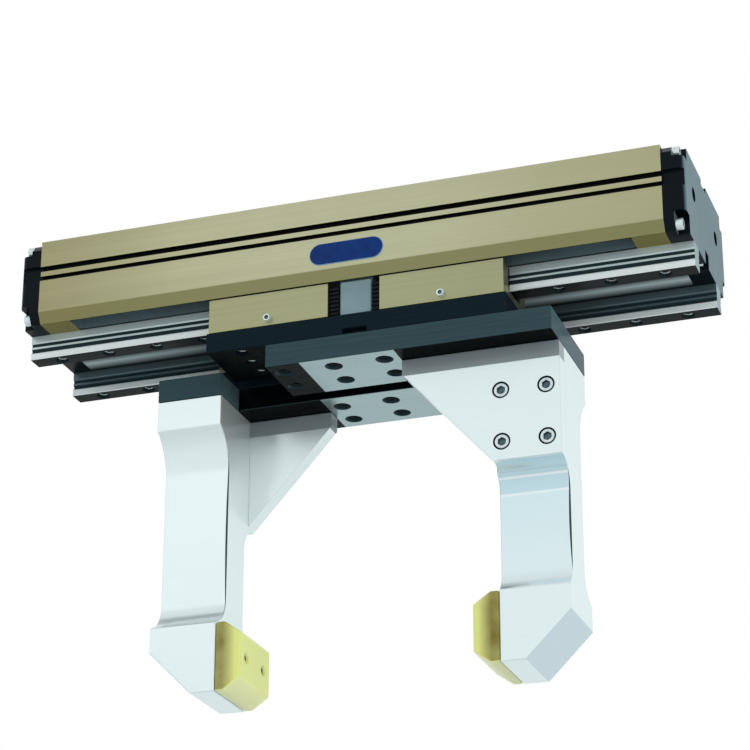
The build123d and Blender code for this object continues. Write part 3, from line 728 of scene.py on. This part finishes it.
fingers = {"right": ("front", 1), "left": ("rear", -1)}
for finger, (jaw, turn) in fingers.items():
    body = f"{jaw}_jaw"
    low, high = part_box(f"{finger}_adapter_screws")
    adapter_places = [
        ((x, y, low.z), (0, 0, -1))
        for x in between(low.x, high.x, 3, M12[0])
        for y in (low.y + M12[0], high.y - M12[0])
    ]
    screws(
        f"{finger}_adapter_cap_screws", f"{finger}_adapter_screws", body, oxide, M12, 0.026,
        adapter_places,
    )
    low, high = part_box(f"{finger}_gusset_screws")
    front_y = low.y if turn > 0 else high.y
    gusset_places = [
        ((x, front_y, z), (0, -turn, 0))
        for x in (low.x + M10[0], high.x - M10[0])
        for z in (low.z + M10[0], high.z - M10[0])
    ]
    screws(
        f"{finger}_gusset_cap_screws", f"{finger}_gusset_screws", body, zinc, M10, 0.030, gusset_places
    )
    low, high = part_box(f"{finger}_pad_screws")
    face_x = low.x if turn > 0 else high.x
    pad_places = [
        ((face_x, y, (low.z + high.z) / 2), (-turn, 0, 0)) for y in (low.y + M5[0], high.y - M5[0])
    ]
    screws(f"{finger}_pad_cap_screws", f"{finger}_pad_screws", body, olive, M5, 0.040, pad_places)
    give(zinc, f"{finger}_finger_bolts")
for jaw in jaws:
    give(zinc, f"{jaw}_belt_clamp_screws")

# ------------------------------------------------------------------ carriages
# Each carriage is a gold anodised U-shaped body with steel raceway inserts in its legs and
# black moulded caps with wipers at its ends. It hangs from the rail and carries the jaw plate.


def moulded_black():
    """Glass-filled nylon: almost black, with a fine grain in its height."""
    material, tree, shader = new_finish(
        "moulded_black_nylon", colour(10, 14, 17), 0.45, 0.0, Specular_IOR_Level=0.15
    )
    marks = use_group(tree, handling, Size=40.0)
    tone = mottled(tree, marks["Cloud"], (6, 9, 11), (16, 20, 23))
    tree.links.new(tone, shader.inputs["Base Color"])
    tree.links.new(spread(tree, marks["Speck"], 0.42, 0.58), shader.inputs["Roughness"])
    bump(tree, shader, marks["Speck"], 0.3, 0.0001)
    return material


carriage_gold, gold_tree, gold_shader, gold_skin = brushed_gold(
    "carriage_gold_anodised", colour(186, 181, 143), colour(168, 162, 122)
)
gold_tree.links.new(gold_skin, gold_shader.inputs["Base Color"])
nylon = moulded_black()
for jaw in jaws:
    give(carriage_gold, f"{jaw}_cover_left", f"{jaw}_cover_right")
    give(steel, f"{jaw}_carriage_left", f"{jaw}_carriage_right")
    give(nylon, f"{jaw}_carriage_caps", f"{jaw}_wiper_blocks")
    give(grey, f"{jaw}_belt_driver", f"{jaw}_belt_clamp")

# ------------------------------------------------------------------ jaw plates
# A thick steel plate under each pair of carriages, ground flat and blued to a deep navy. The
# adapter is bolted to its underside.


def blued_steel():
    """Blued steel with faint grinding lines along X, edges painted lighter as a highlight and the
    underside painted black as shade.
    """
    material, tree, shader = new_finish(
        "jaw_plate_blued_steel", colour(14, 27, 35), 0.35, 0.0, Specular_IOR_Level=0.03
    )
    lines = use_group(tree, drawn_lines, Cells=(8, 1200, 1200))
    edge = use_group(tree, edge_wear_and_sheen, Radius=0.0006, Strength=1.5)["Edge"]
    tone = mottled(tree, lines["Line"], (15, 28, 35), (24, 38, 46))
    # Painted highlight: the edges are coloured lighter.
    edge_lit = blend_colours(tree, edge, tone, colour(40, 56, 66))
    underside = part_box("front_jaw_plate")[0].z
    # Painted shade: the underside is coloured near-black.
    under = formula(tree, "LESS_THAN", coordinates(tree)["Z"], underside + FLAT)
    tree.links.new(
        blend_colours(tree, under, edge_lit, colour(4, 8, 11)), shader.inputs["Base Color"]
    )
    tree.links.new(spread(tree, lines["Broad"], 0.34, 0.48), shader.inputs["Roughness"])
    bump(tree, shader, lines["Line"], 0.25, 0.00005)
    return material


give(blued_steel(), "front_jaw_plate", "rear_jaw_plate")

# ------------------------------------------------------------------ adapter plates
# L-shaped plates of hard-anodised aluminium, milled all over. The underside carries a painted
# reflection, bright where the screws sit and black elsewhere, and the side towards the other
# adapter is painted black as shade.


def hard_anodised(plate, bright_from, bright_to):
    """Dark anodised skin over milled metal with fine cutter lines.

    The underside carries a painted reflection, bright where the screws are, between two places
    along X, and black elsewhere; Metallic and the tone both follow that mask. Edges and end faces
    are painted paler as a highlight, and the inner side is painted black as shade.
    """
    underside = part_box(plate)[0].z
    material, tree, shader = new_finish(
        f"{plate}_hard_anodised", colour(49, 70, 77), 0.3, 0.0, Specular_IOR_Level=0.03
    )
    lines = use_group(tree, drawn_lines, Cells=(14, 1000, 1000))
    edge = use_group(tree, edge_wear_and_sheen, Radius=0.0006, Strength=1.2)["Edge"]
    place = coordinates(tree)
    tone = mottled(tree, lines["Line"], (50, 70, 76), (64, 84, 90))
    # Painted highlight: edges and end faces are coloured paler.
    painted_sheen = formula(tree, "MAXIMUM", edge, on_end_face(tree))
    edge_lit = blend_colours(tree, painted_sheen, tone, colour(84, 104, 110))
    inner_y = 0.010
    off_middle = formula(tree, "ABSOLUTE", place["Y"])
    inner = within(tree, off_middle, inner_y - FLAT, inner_y + FLAT)
    # Painted shade: the side towards the other adapter is coloured black.
    sides = blend_colours(tree, inner, edge_lit, colour(5, 9, 11))
    under = formula(tree, "LESS_THAN", place["Z"], underside + FLAT)
    screw_field = within(tree, place["X"], bright_from, bright_to)
    bright = formula(tree, "MULTIPLY", under, screw_field)
    # Painted reflection on the underside: pale where the screws are, near-black elsewhere.
    bottom = blend_colours(tree, screw_field, colour(2, 5, 7), colour(170, 187, 188))
    tree.links.new(blend_colours(tree, under, sides, bottom), shader.inputs["Base Color"])
    tree.links.new(formula(tree, "MULTIPLY", bright, 0.9), shader.inputs["Metallic"])
    tree.links.new(spread(tree, lines["Broad"], 0.22, 0.3), shader.inputs["Roughness"])
    bump(tree, shader, lines["Line"], 0.15, 0.00003)
    return material


gusset_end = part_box("right_gusset")[0].x
adapter_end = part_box("left_adapter_plate")[1].x
# The painted reflection field on the right adapter's underside starts here.
reflection_field_from = -0.0485
give(hard_anodised("right_adapter_plate", reflection_field_from, gusset_end), "right_adapter_plate")
give(hard_anodised("left_adapter_plate", -gusset_end, adapter_end), "left_adapter_plate")

# ------------------------------------------------------------------ fingers and gussets
# The fingers are milled from bright aluminium bar, with scooped waists and a heavy tip. The
# gussets are plates of the same metal, screwed on and set against the adapter.


def towards_gusset(tree, place):
    """Y with the sign of X given to it, so that the gusset's side is negative on both fingers."""
    return formula(tree, "MULTIPLY", place["Y"], formula(tree, "SIGN", place["X"]))


def scoop_mask(tree, place, depth, radius):
    """Where the big cutter has run: the scoop and waist on the gusset's side."""
    low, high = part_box("right_gusset")
    turned = towards_gusset(tree, place)
    sunk = within(tree, turned, low.y + 0.0003, low.y + radius + 0.0005)
    below = formula(tree, "GREATER_THAN", depth, 0.0)
    across = spread(tree, formula(tree, "ABSOLUTE", facing(tree)["Y"]), 0, 1, 0.1, 0.2)
    past_scoop = formula(tree, "GREATER_THAN", depth, radius + 0.001)
    bar_face = within(tree, turned, high.y - 0.0003, high.y + 0.0003)
    off_tip = formula(tree, "SUBTRACT", 1.0, formula(tree, "MULTIPLY", past_scoop, bar_face))
    return formula(
        tree, "MULTIPLY", formula(tree, "MULTIPLY", sunk, below),
        formula(tree, "MULTIPLY", across, off_tip),
    )


def scoop_reflection(tree, tone):
    """Painted reflection: pale blue in the scoop, fading to the bar's own tone down the waist.

    The scoop is a quarter circle from the gusset's face to the waist, and depth is measured
    down from where it starts. Two painted highlight lines cross it, one in the scoop and one at its
    end.
    """
    low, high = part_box("right_gusset")
    waist_sunk = 0.010
    radius = high.y - low.y + waist_sunk
    start = low.z + radius - math.sqrt(radius ** 2 - (high.y - low.y) ** 2)
    place = coordinates(tree)
    depth = formula(tree, "SUBTRACT", start, place["Z"])
    fade_end = 0.16
    # Painted reflection: blue tones over the scoop and down the waist.
    lower = blend_colours(
        tree, spread(tree, depth, 0, 1, radius, fade_end), colour(232, 246, 250), tone
    )
    upper = formula(tree, "LESS_THAN", depth, radius)
    scoop_reflected = blend_colours(tree, upper, lower, colour(214, 234, 242))
    # Painted highlight: two light lines across the scoop.
    first = within(tree, depth, 0.38 * radius, 0.46 * radius)
    second = within(tree, depth, 0.96 * radius, 1.06 * radius)
    with_highlight_lines = blend_colours(
        tree, formula(tree, "MAXIMUM", first, second), scoop_reflected, colour(250, 254, 255)
    )
    return blend_colours(tree, scoop_mask(tree, place, depth, radius), tone, with_highlight_lines)


def bright_milled(name):
    """Bright milled aluminium: cutter lines across the bar, greyer corners, clouded gloss."""
    material, tree, shader = new_finish(name, colour(246, 252, 253), 0.2, 0.6)
    lines = use_group(tree, drawn_lines, Cells=(40, 40, 1400))
    marks = use_group(tree, handling, Size=7.0)
    edge = use_group(tree, edge_wear_and_sheen, Radius=0.0007, Strength=1.6)["Edge"]
    tone = mottled(tree, lines["Line"], (243, 250, 252), (252, 255, 255))
    # The scoop carries a painted reflection.
    milled = blend_colours(tree, edge, scoop_reflection(tree, tone), colour(120, 130, 142))
    tree.links.new(spread(tree, marks["Cloud"], 0.16, 0.25), shader.inputs["Roughness"])
    bump(tree, shader, lines["Line"], 0.06, 0.00002)
    return material, tree, shader, milled


def lens_width(tree, height, low, high):
    """Width of a painted edge line: 2.2 mm half way up, less by the square of the way from there."""
    middle, half = (low + high) / 2, (high - low) / 2
    off = formula(tree, "DIVIDE", formula(tree, "SUBTRACT", height, middle), half)
    fullness = formula(tree, "SUBTRACT", 1.0, formula(tree, "MULTIPLY", off, off))
    return formula(tree, "MULTIPLY", fullness, 0.0022)


def waist_reflection_lines(tree, place, normal):
    """Mask of the painted dark line on one edge of each waist: the outer on the gusset's side, the
    inner on the other.
    """
    low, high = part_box("right_finger")
    tip_top = low.z + 0.095
    back_scoop_end = high.z - 0.060
    gusset_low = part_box("right_gusset")[0].z
    turned = towards_gusset(tree, place)
    length = formula(tree, "ABSOLUTE", place["X"])
    off_outer = formula(tree, "SUBTRACT", high.x, length)
    off_inner = formula(tree, "SUBTRACT", length, low.x)
    front_width = lens_width(tree, place["Z"], tip_top, gusset_low)
    back_width = lens_width(tree, place["Z"], tip_top, back_scoop_end)
    outer = formula(
        tree, "MULTIPLY", within(tree, turned, low.y + 0.002, low.y + 0.012),
        formula(tree, "LESS_THAN", off_outer, front_width),
    )
    inner = formula(
        tree, "MULTIPLY", within(tree, turned, high.y - 0.030, high.y - 0.002),
        formula(tree, "LESS_THAN", off_inner, back_width),
    )
    sideways = spread(tree, formula(tree, "ABSOLUTE", normal["Y"]), 0, 1, 0.3, 0.6)
    return formula(tree, "MULTIPLY", formula(tree, "MAXIMUM", outer, inner), sideways)


def finger_finish():
    """Bright milled bar, its slanted tip faces painted greyer as shade, and a painted dark reflection
    line along each waist.
    """
    material, tree, shader, milled = bright_milled("finger_bright_aluminium")
    normal = facing(tree)
    slanted = spread(tree, formula(tree, "ABSOLUTE", normal["X"]), 0, 1, 0.3, 0.4)
    downward = formula(tree, "LESS_THAN", normal["Z"], -0.2)
    corner = formula(tree, "MULTIPLY", slanted, downward)
    # Painted shade: the slanted tip faces that look down are coloured greyer.
    tip_shaded = blend_colours(tree, corner, milled, colour(216, 227, 233))
    # Painted reflection: a dark line along one edge of each waist.
    line = waist_reflection_lines(tree, coordinates(tree), normal)
    tree.links.new(
        blend_colours(tree, line, tip_shaded, colour(58, 66, 76)), shader.inputs["Base Color"]
    )
    return material


def gusset_finish():
    """Bright milled plate, with a painted reflection in grey along its top and painted shade in the
    rim round each screw head.

    The four screws fold onto one: X loses its sign, then X and Z become distances from the
    middle of the four; a point is on a rim by its distance from the folded screw.
    """
    low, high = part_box("right_gusset_screws")
    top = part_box("right_gusset")[1].z
    material, tree, shader, milled = bright_milled("gusset_bright_aluminium")
    place = coordinates(tree)
    folded = []
    for value, first, last in (
        (formula(tree, "ABSOLUTE", place["X"]), low.x, high.x), (place["Z"], low.z, high.z)
    ):
        off = formula(tree, "SUBTRACT", value, (first + last) / 2)
        reach = (last - first) / 2 - M10[0]
        folded.append(formula(tree, "SUBTRACT", formula(tree, "ABSOLUTE", off), reach))
    square = formula(
        tree, "ADD", *[formula(tree, "MULTIPLY", value, value) for value in folded]
    )
    head = M10[0]
    # Painted shade: a dark ring round each screw head.
    rim = within(tree, formula(tree, "SQRT", square), head - 0.0003, head + 0.0018)
    # Painted reflection: a grey band along the top.
    top_band_high = 0.0195
    above = formula(tree, "GREATER_THAN", place["Z"], top - top_band_high)
    top_reflection_band = blend_colours(tree, above, milled, colour(142, 149, 153))
    tree.links.new(spread(tree, above, 0.6, 0.0, 0, 1), shader.inputs["Metallic"])
    tree.links.new(
        blend_colours(tree, rim, top_reflection_band, colour(24, 34, 40)), shader.inputs["Base Color"]
    )
    return material


give(finger_finish(), "right_finger", "left_finger")
give(gusset_finish(), "right_gusset", "left_gusset")

# ------------------------------------------------------------------ grip pads
# The pads are cast polyurethane, cloudy yellow and slightly see-through, with soft edges and
# two sunk screws in the grip face. They take the wear, so they are made to be replaced.


def cast_polyurethane():
    """Cloudy lemon elastomer: light scatters inside it; painted shade in ochre at its root, painted
    light making it pale underneath.
    """
    material, tree, shader = new_finish(
        "pad_cast_polyurethane", colour(208, 200, 92), 0.34, 0.0,
        IOR=1.5, Subsurface_Weight=0.7, Subsurface_Radius=(0.012, 0.010, 0.003),
        Subsurface_Scale=1.0,
    )
    marks = use_group(tree, handling, Size=35.0)
    low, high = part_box("right_grip_pad")
    depth = formula(tree, "ABSOLUTE", coordinates(tree)["X"])
    # Painted shade: deeper ochre towards the root on the finger.
    root_shaded = blend_colours(
        tree, spread(tree, depth, 0, 1, low.x + 0.006, high.x - 0.009),
        colour(240, 240, 146), colour(136, 116, 22),
    )
    # Painted light: faces that look down are coloured paler.
    underneath = spread(tree, facing(tree)["Z"], 0.8, 0, -0.6, -0.3)
    body = blend_colours(tree, underneath, root_shaded, colour(252, 250, 196))
    tone = blend_colours(
        tree, spread(tree, marks["Cloud"], 0, 0.3), body, colour(240, 238, 160)
    )
    tree.links.new(tone, shader.inputs["Base Color"])
    tree.links.new(spread(tree, marks["Speck"], 0.28, 0.42), shader.inputs["Roughness"])
    bump(tree, shader, marks["Cloud"], 0.2, 0.0008)
    return material


polyurethane = cast_polyurethane()
PAD_ROUND = 0.0030
PAD_LAND = 0.0105
PAD_CHAMFER = 0.0135
PAD_ROWS = 88
DENT_DEEP = 0.0068
DENT_RADIUS = 0.0052
DENT_EDGE = 0.00022


def pad_points(low, high, towards):
    """Pad with every edge rounded: a six-sided prism, shrunk by a ball and grown again by it.

    Around the prism each corner sweeps the ball through that corner's turn, and the sides are
    divided evenly; along Y the ball closes both ends over a quarter turn. Points on the grip
    face sink round the two screw holes by a steep S curve of their distance from the hole.
    """
    back = high.x if towards < 0 else low.x
    face = low.x if towards < 0 else high.x
    land = back + towards * PAD_LAND
    outline = np.array([
        (back, low.z), (land, low.z), (face, low.z + PAD_CHAMFER),
        (face, high.z - PAD_CHAMFER), (land, high.z), (back, high.z),
    ])
    if towards > 0:
        outline = outline[::-1]
    ahead = np.roll(outline, -1, axis=0) - outline
    normal = np.stack([-ahead[:, 1], ahead[:, 0]], axis=-1)
    normal /= np.linalg.norm(normal, axis=1, keepdims=True)
    before = np.roll(normal, 1, axis=0)
    reach = PAD_ROUND / (1 + np.sum(before * normal, axis=1, keepdims=True))
    inner = outline - (before + normal) * reach
    around_points, around_normals = [], []
    for corner in range(len(outline)):
        for share in np.linspace(0, 1, 5):
            mixed = before[corner] * (1 - share) + normal[corner] * share
            around_points.append(inner[corner])
            around_normals.append(mixed / np.linalg.norm(mixed))
        following = inner[(corner + 1) % len(outline)]
        length = np.linalg.norm(following - inner[corner])
        for share in np.linspace(0, 1, max(3, int(length / 0.001)), endpoint=False)[1:]:
            around_points.append(inner[corner] * (1 - share) + following * share)
            around_normals.append(normal[corner])
    centre = np.array(around_points)
    outward = np.array(around_normals)
    lean = np.radians([-90, -60, -30, 0])
    y_values = np.concatenate([
        low.y + PAD_ROUND + PAD_ROUND * np.sin(lean),
        np.linspace(low.y + PAD_ROUND, high.y - PAD_ROUND, PAD_ROWS)[1:-1],
        high.y - PAD_ROUND - PAD_ROUND * np.sin(lean[::-1]),
    ])
    swell = np.concatenate([np.cos(lean), np.ones(PAD_ROWS - 2), np.cos(lean[::-1])]) * PAD_ROUND
    xz = centre[None] + outward[None] * swell[:, None, None]
    y = np.broadcast_to(y_values[:, None], xz.shape[:2])
    points = np.stack([xz[..., 0], y, xz[..., 1]], axis=-1)
    return points, face


for finger, (jaw, turn) in fingers.items():
    low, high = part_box(f"{finger}_grip_pad")
    points, face_x = pad_points(low, high, -turn)
    hole_low, hole_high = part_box(f"{finger}_pad_screws")
    hole_z = (hole_low.z + hole_high.z) / 2
    on_face = np.abs(points[..., 0] - face_x) < 1e-6
    for hole_y in (hole_low.y + M5[0], hole_high.y - M5[0]):
        away = np.hypot(points[..., 1] - hole_y, points[..., 2] - hole_z)
        sink = DENT_DEEP / (1 + np.exp((away - DENT_RADIUS) / DENT_EDGE))
        points[..., 0] += np.where(on_face, turn * sink, 0)
    rows, around = points.shape[:2]
    pad_faces = ring_faces(rows, around).tolist()
    pad_faces += [list(range(around))[::-1], list(range((rows - 1) * around, rows * around))]
    pad = surface(
        f"{finger}_cast_pad", points.reshape(-1, 3), pad_faces, polyurethane, sharp=50
    )
    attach(pad, f"{jaw}_jaw")
    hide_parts(f"{finger}_grip_pad")

# ------------------------------------------------------------------ blank badge
# A small enamelled plate is glued to the housing's front below the sensor grooves. It is a
# plain blue oval with a rim of paler blue, and it is left blank.


def enamel_blue():
    """Fired blue enamel, slightly cloudy."""
    material, tree, shader = new_finish(
        "badge_blue_enamel", colour(4, 46, 110), 0.2, 0.0, Specular_IOR_Level=0.15
    )
    marks = use_group(tree, handling, Size=60.0)
    tone = mottled(tree, marks["Cloud"], (1, 40, 104), (6, 54, 122))
    tree.links.new(tone, shader.inputs["Base Color"])
    return material


def pale_rim():
    """Paler blue rim of the badge."""
    material, tree, shader = new_finish("badge_pale_rim", colour(120, 150, 186), 0.3, 0.0)
    marks = use_group(tree, handling, Size=60.0)
    tone = mottled(tree, marks["Cloud"], (108, 140, 178), (132, 160, 194))
    tree.links.new(tone, shader.inputs["Base Color"])
    return material


def oval_plate(name, centre, half_width, half_height, thickness, material):
    """Oval plate standing on the front face.

    Its outline is two half circles, moved apart along X by the half width less their radius;
    ring by ring it shrinks while its height follows a quarter circle at the edge.
    """
    count = 96
    angle = np.linspace(0, 2 * math.pi, count, endpoint=False) + math.pi / count
    apart = half_width - half_height
    x = np.sign(np.cos(angle)) * apart + half_height * np.cos(angle)
    z = half_height * np.sin(angle)
    rise = np.radians([0, 25, 50, 75, 90])
    inset = thickness * (1 - np.cos(rise))
    rings = [
        np.stack([
            centre[0] + x * (1 - cut / half_width),
            np.full_like(x, centre[1] - thickness * lift),
            centre[2] + z * (1 - cut / half_height),
        ], axis=-1)
        for cut, lift in zip(inset, np.sin(rise))
    ]
    faces = ring_faces(len(rings), count).tolist()
    last = (len(rings) - 1) * count
    faces += [list(range(count))[::-1], list(range(last, last + count))]
    made = surface(name, np.concatenate(rings), faces, material, sharp=60)
    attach(made, "housing")
    return made


housing_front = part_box("housing_profile")[0].y
badge_place = (0.0095, housing_front, -0.0712)
oval_plate("badge_rim", badge_place, 0.0438, 0.0133, 0.0008, pale_rim())
oval_plate("badge_face", badge_place, 0.0434, 0.0129, 0.0012, enamel_blue())

# ------------------------------------------------------------------ studio
# A pale floor far below, a white tent of light that is dimmer underneath, and three large
# softboxes. The camera stands low at the front right and looks up at the gripper.


def studio_floor(height, radius):
    """Pale round floor: rings of points whose distance grows from the middle."""
    around = 64
    angle = np.linspace(0, 2 * math.pi, around, endpoint=False)
    rings = [
        np.stack([r * np.cos(angle), r * np.sin(angle), np.full_like(angle, height)], axis=-1)
        for r in radius * np.array([0.02, 0.2, 0.5, 1.0])
    ]
    material, tree, shader = new_finish("floor_pale", colour(236, 236, 234), 0.8, 0.0)
    marks = use_group(tree, handling, Size=0.6)
    tone = mottled(tree, marks["Cloud"], (233, 233, 232), (239, 239, 238))
    tree.links.new(tone, shader.inputs["Base Color"])
    faces = ring_faces(len(rings), around)[:, ::-1].tolist() + [list(range(around))]
    made = surface("studio_floor", np.concatenate(rings), faces, material)
    return made


floor = studio_floor(-2.6, 20)
floor.visible_glossy = False


def studio_world():
    """White tent: the view sees plain white, while gloss sees a tone that fades downwards."""
    world = bpy.data.worlds.new("studio_tent")
    bpy.context.scene.world = world
    world.use_nodes = True
    tree = world.node_tree
    tree.nodes.clear()
    direction = add_node(tree, "ShaderNodeTexCoord").outputs["Generated"]
    height = add_node(tree, "ShaderNodeSeparateXYZ", {0: direction}).outputs["Z"]
    ramp = add_node(tree, "ShaderNodeValToRGB")
    place = add_node(
        tree, "ShaderNodeMapRange",
        {"Value": height, "From Min": -1.0, "From Max": 1.0, "To Min": 0.0, "To Max": 1.0},
    ).outputs["Result"]
    tree.links.new(place, ramp.inputs["Fac"])
    stops = ramp.color_ramp.elements
    stops[0].position, stops[0].color = 0.0, (0.62, 0.72, 0.74, 1)
    stops[1].position, stops[1].color = 1.0, (0.75, 0.78, 0.80, 1)
    for position, tone in ((0.18, 0.92), (0.32, 0.96), (0.5, 0.98), (0.68, 1.0), (0.85, 0.9)):
        added = stops.new(position)
        added.color = (tone * 0.89, tone * 0.99, tone, 1)
    tent = add_node(
        tree, "ShaderNodeBackground", {"Color": ramp.outputs["Color"], "Strength": 0.88}
    )
    backdrop = add_node(
        tree, "ShaderNodeBackground", {"Color": (1, 1, 1, 1), "Strength": 1.0}
    )
    seen = add_node(tree, "ShaderNodeLightPath").outputs["Is Camera Ray"]
    both = add_node(tree, "ShaderNodeMixShader", {0: seen})
    tree.links.new(tent.outputs[0], both.inputs[1])
    tree.links.new(backdrop.outputs[0], both.inputs[2])
    output = add_node(tree, "ShaderNodeOutputWorld")
    tree.links.new(both.outputs[0], output.inputs["Surface"])


studio_world()


def softbox(name, place, target, width, height, power):
    """Rectangular area light aimed at a point."""
    light = bpy.data.lights.new(name, "AREA")
    light.shape = "RECTANGLE"
    light.size, light.size_y, light.energy = width, height, power
    made = bpy.data.objects.new(name, light)
    bpy.context.scene.collection.objects.link(made)
    made.location = place
    aim = Vector(target) - Vector(place)
    made.rotation_euler = aim.to_track_quat("-Z", "Y").to_euler()
    return made


middle = (0.0, 0.0, -0.25)
softbox("softbox_front_left", (-1.6, -2.2, 0.9), middle, 1.6, 1.2, 1)
fill = softbox("softbox_right", (2.4, -0.9, -0.3), middle, 1.2, 1.6, 10)
fill.visible_glossy = False
softbox("softbox_top", (0.0, 0.4, 2.4), middle, 2.2, 1.6, 6)

camera_data = bpy.data.cameras.new("camera")
camera_data.lens = 120.37
camera_data.sensor_width = 36
camera_data.shift_x = 0.0089
camera_data.shift_y = 0.0273
camera_data.clip_start, camera_data.clip_end = 0.1, 100
camera = bpy.data.objects.new("camera", camera_data)
bpy.context.scene.collection.objects.link(camera)
camera.location = (0.8652, -2.4790, -1.3082)
camera_turn = (
    Matrix.Rotation(math.radians(19.25), 3, "Z")
    @ Matrix.Rotation(math.radians(90 + 22.817), 3, "X")
    @ Matrix.Rotation(math.radians(0.154), 3, "Z")
)
camera.rotation_euler = camera_turn.to_euler()
bpy.context.scene.camera = camera
bpy.context.scene.view_settings.view_transform = "Standard"
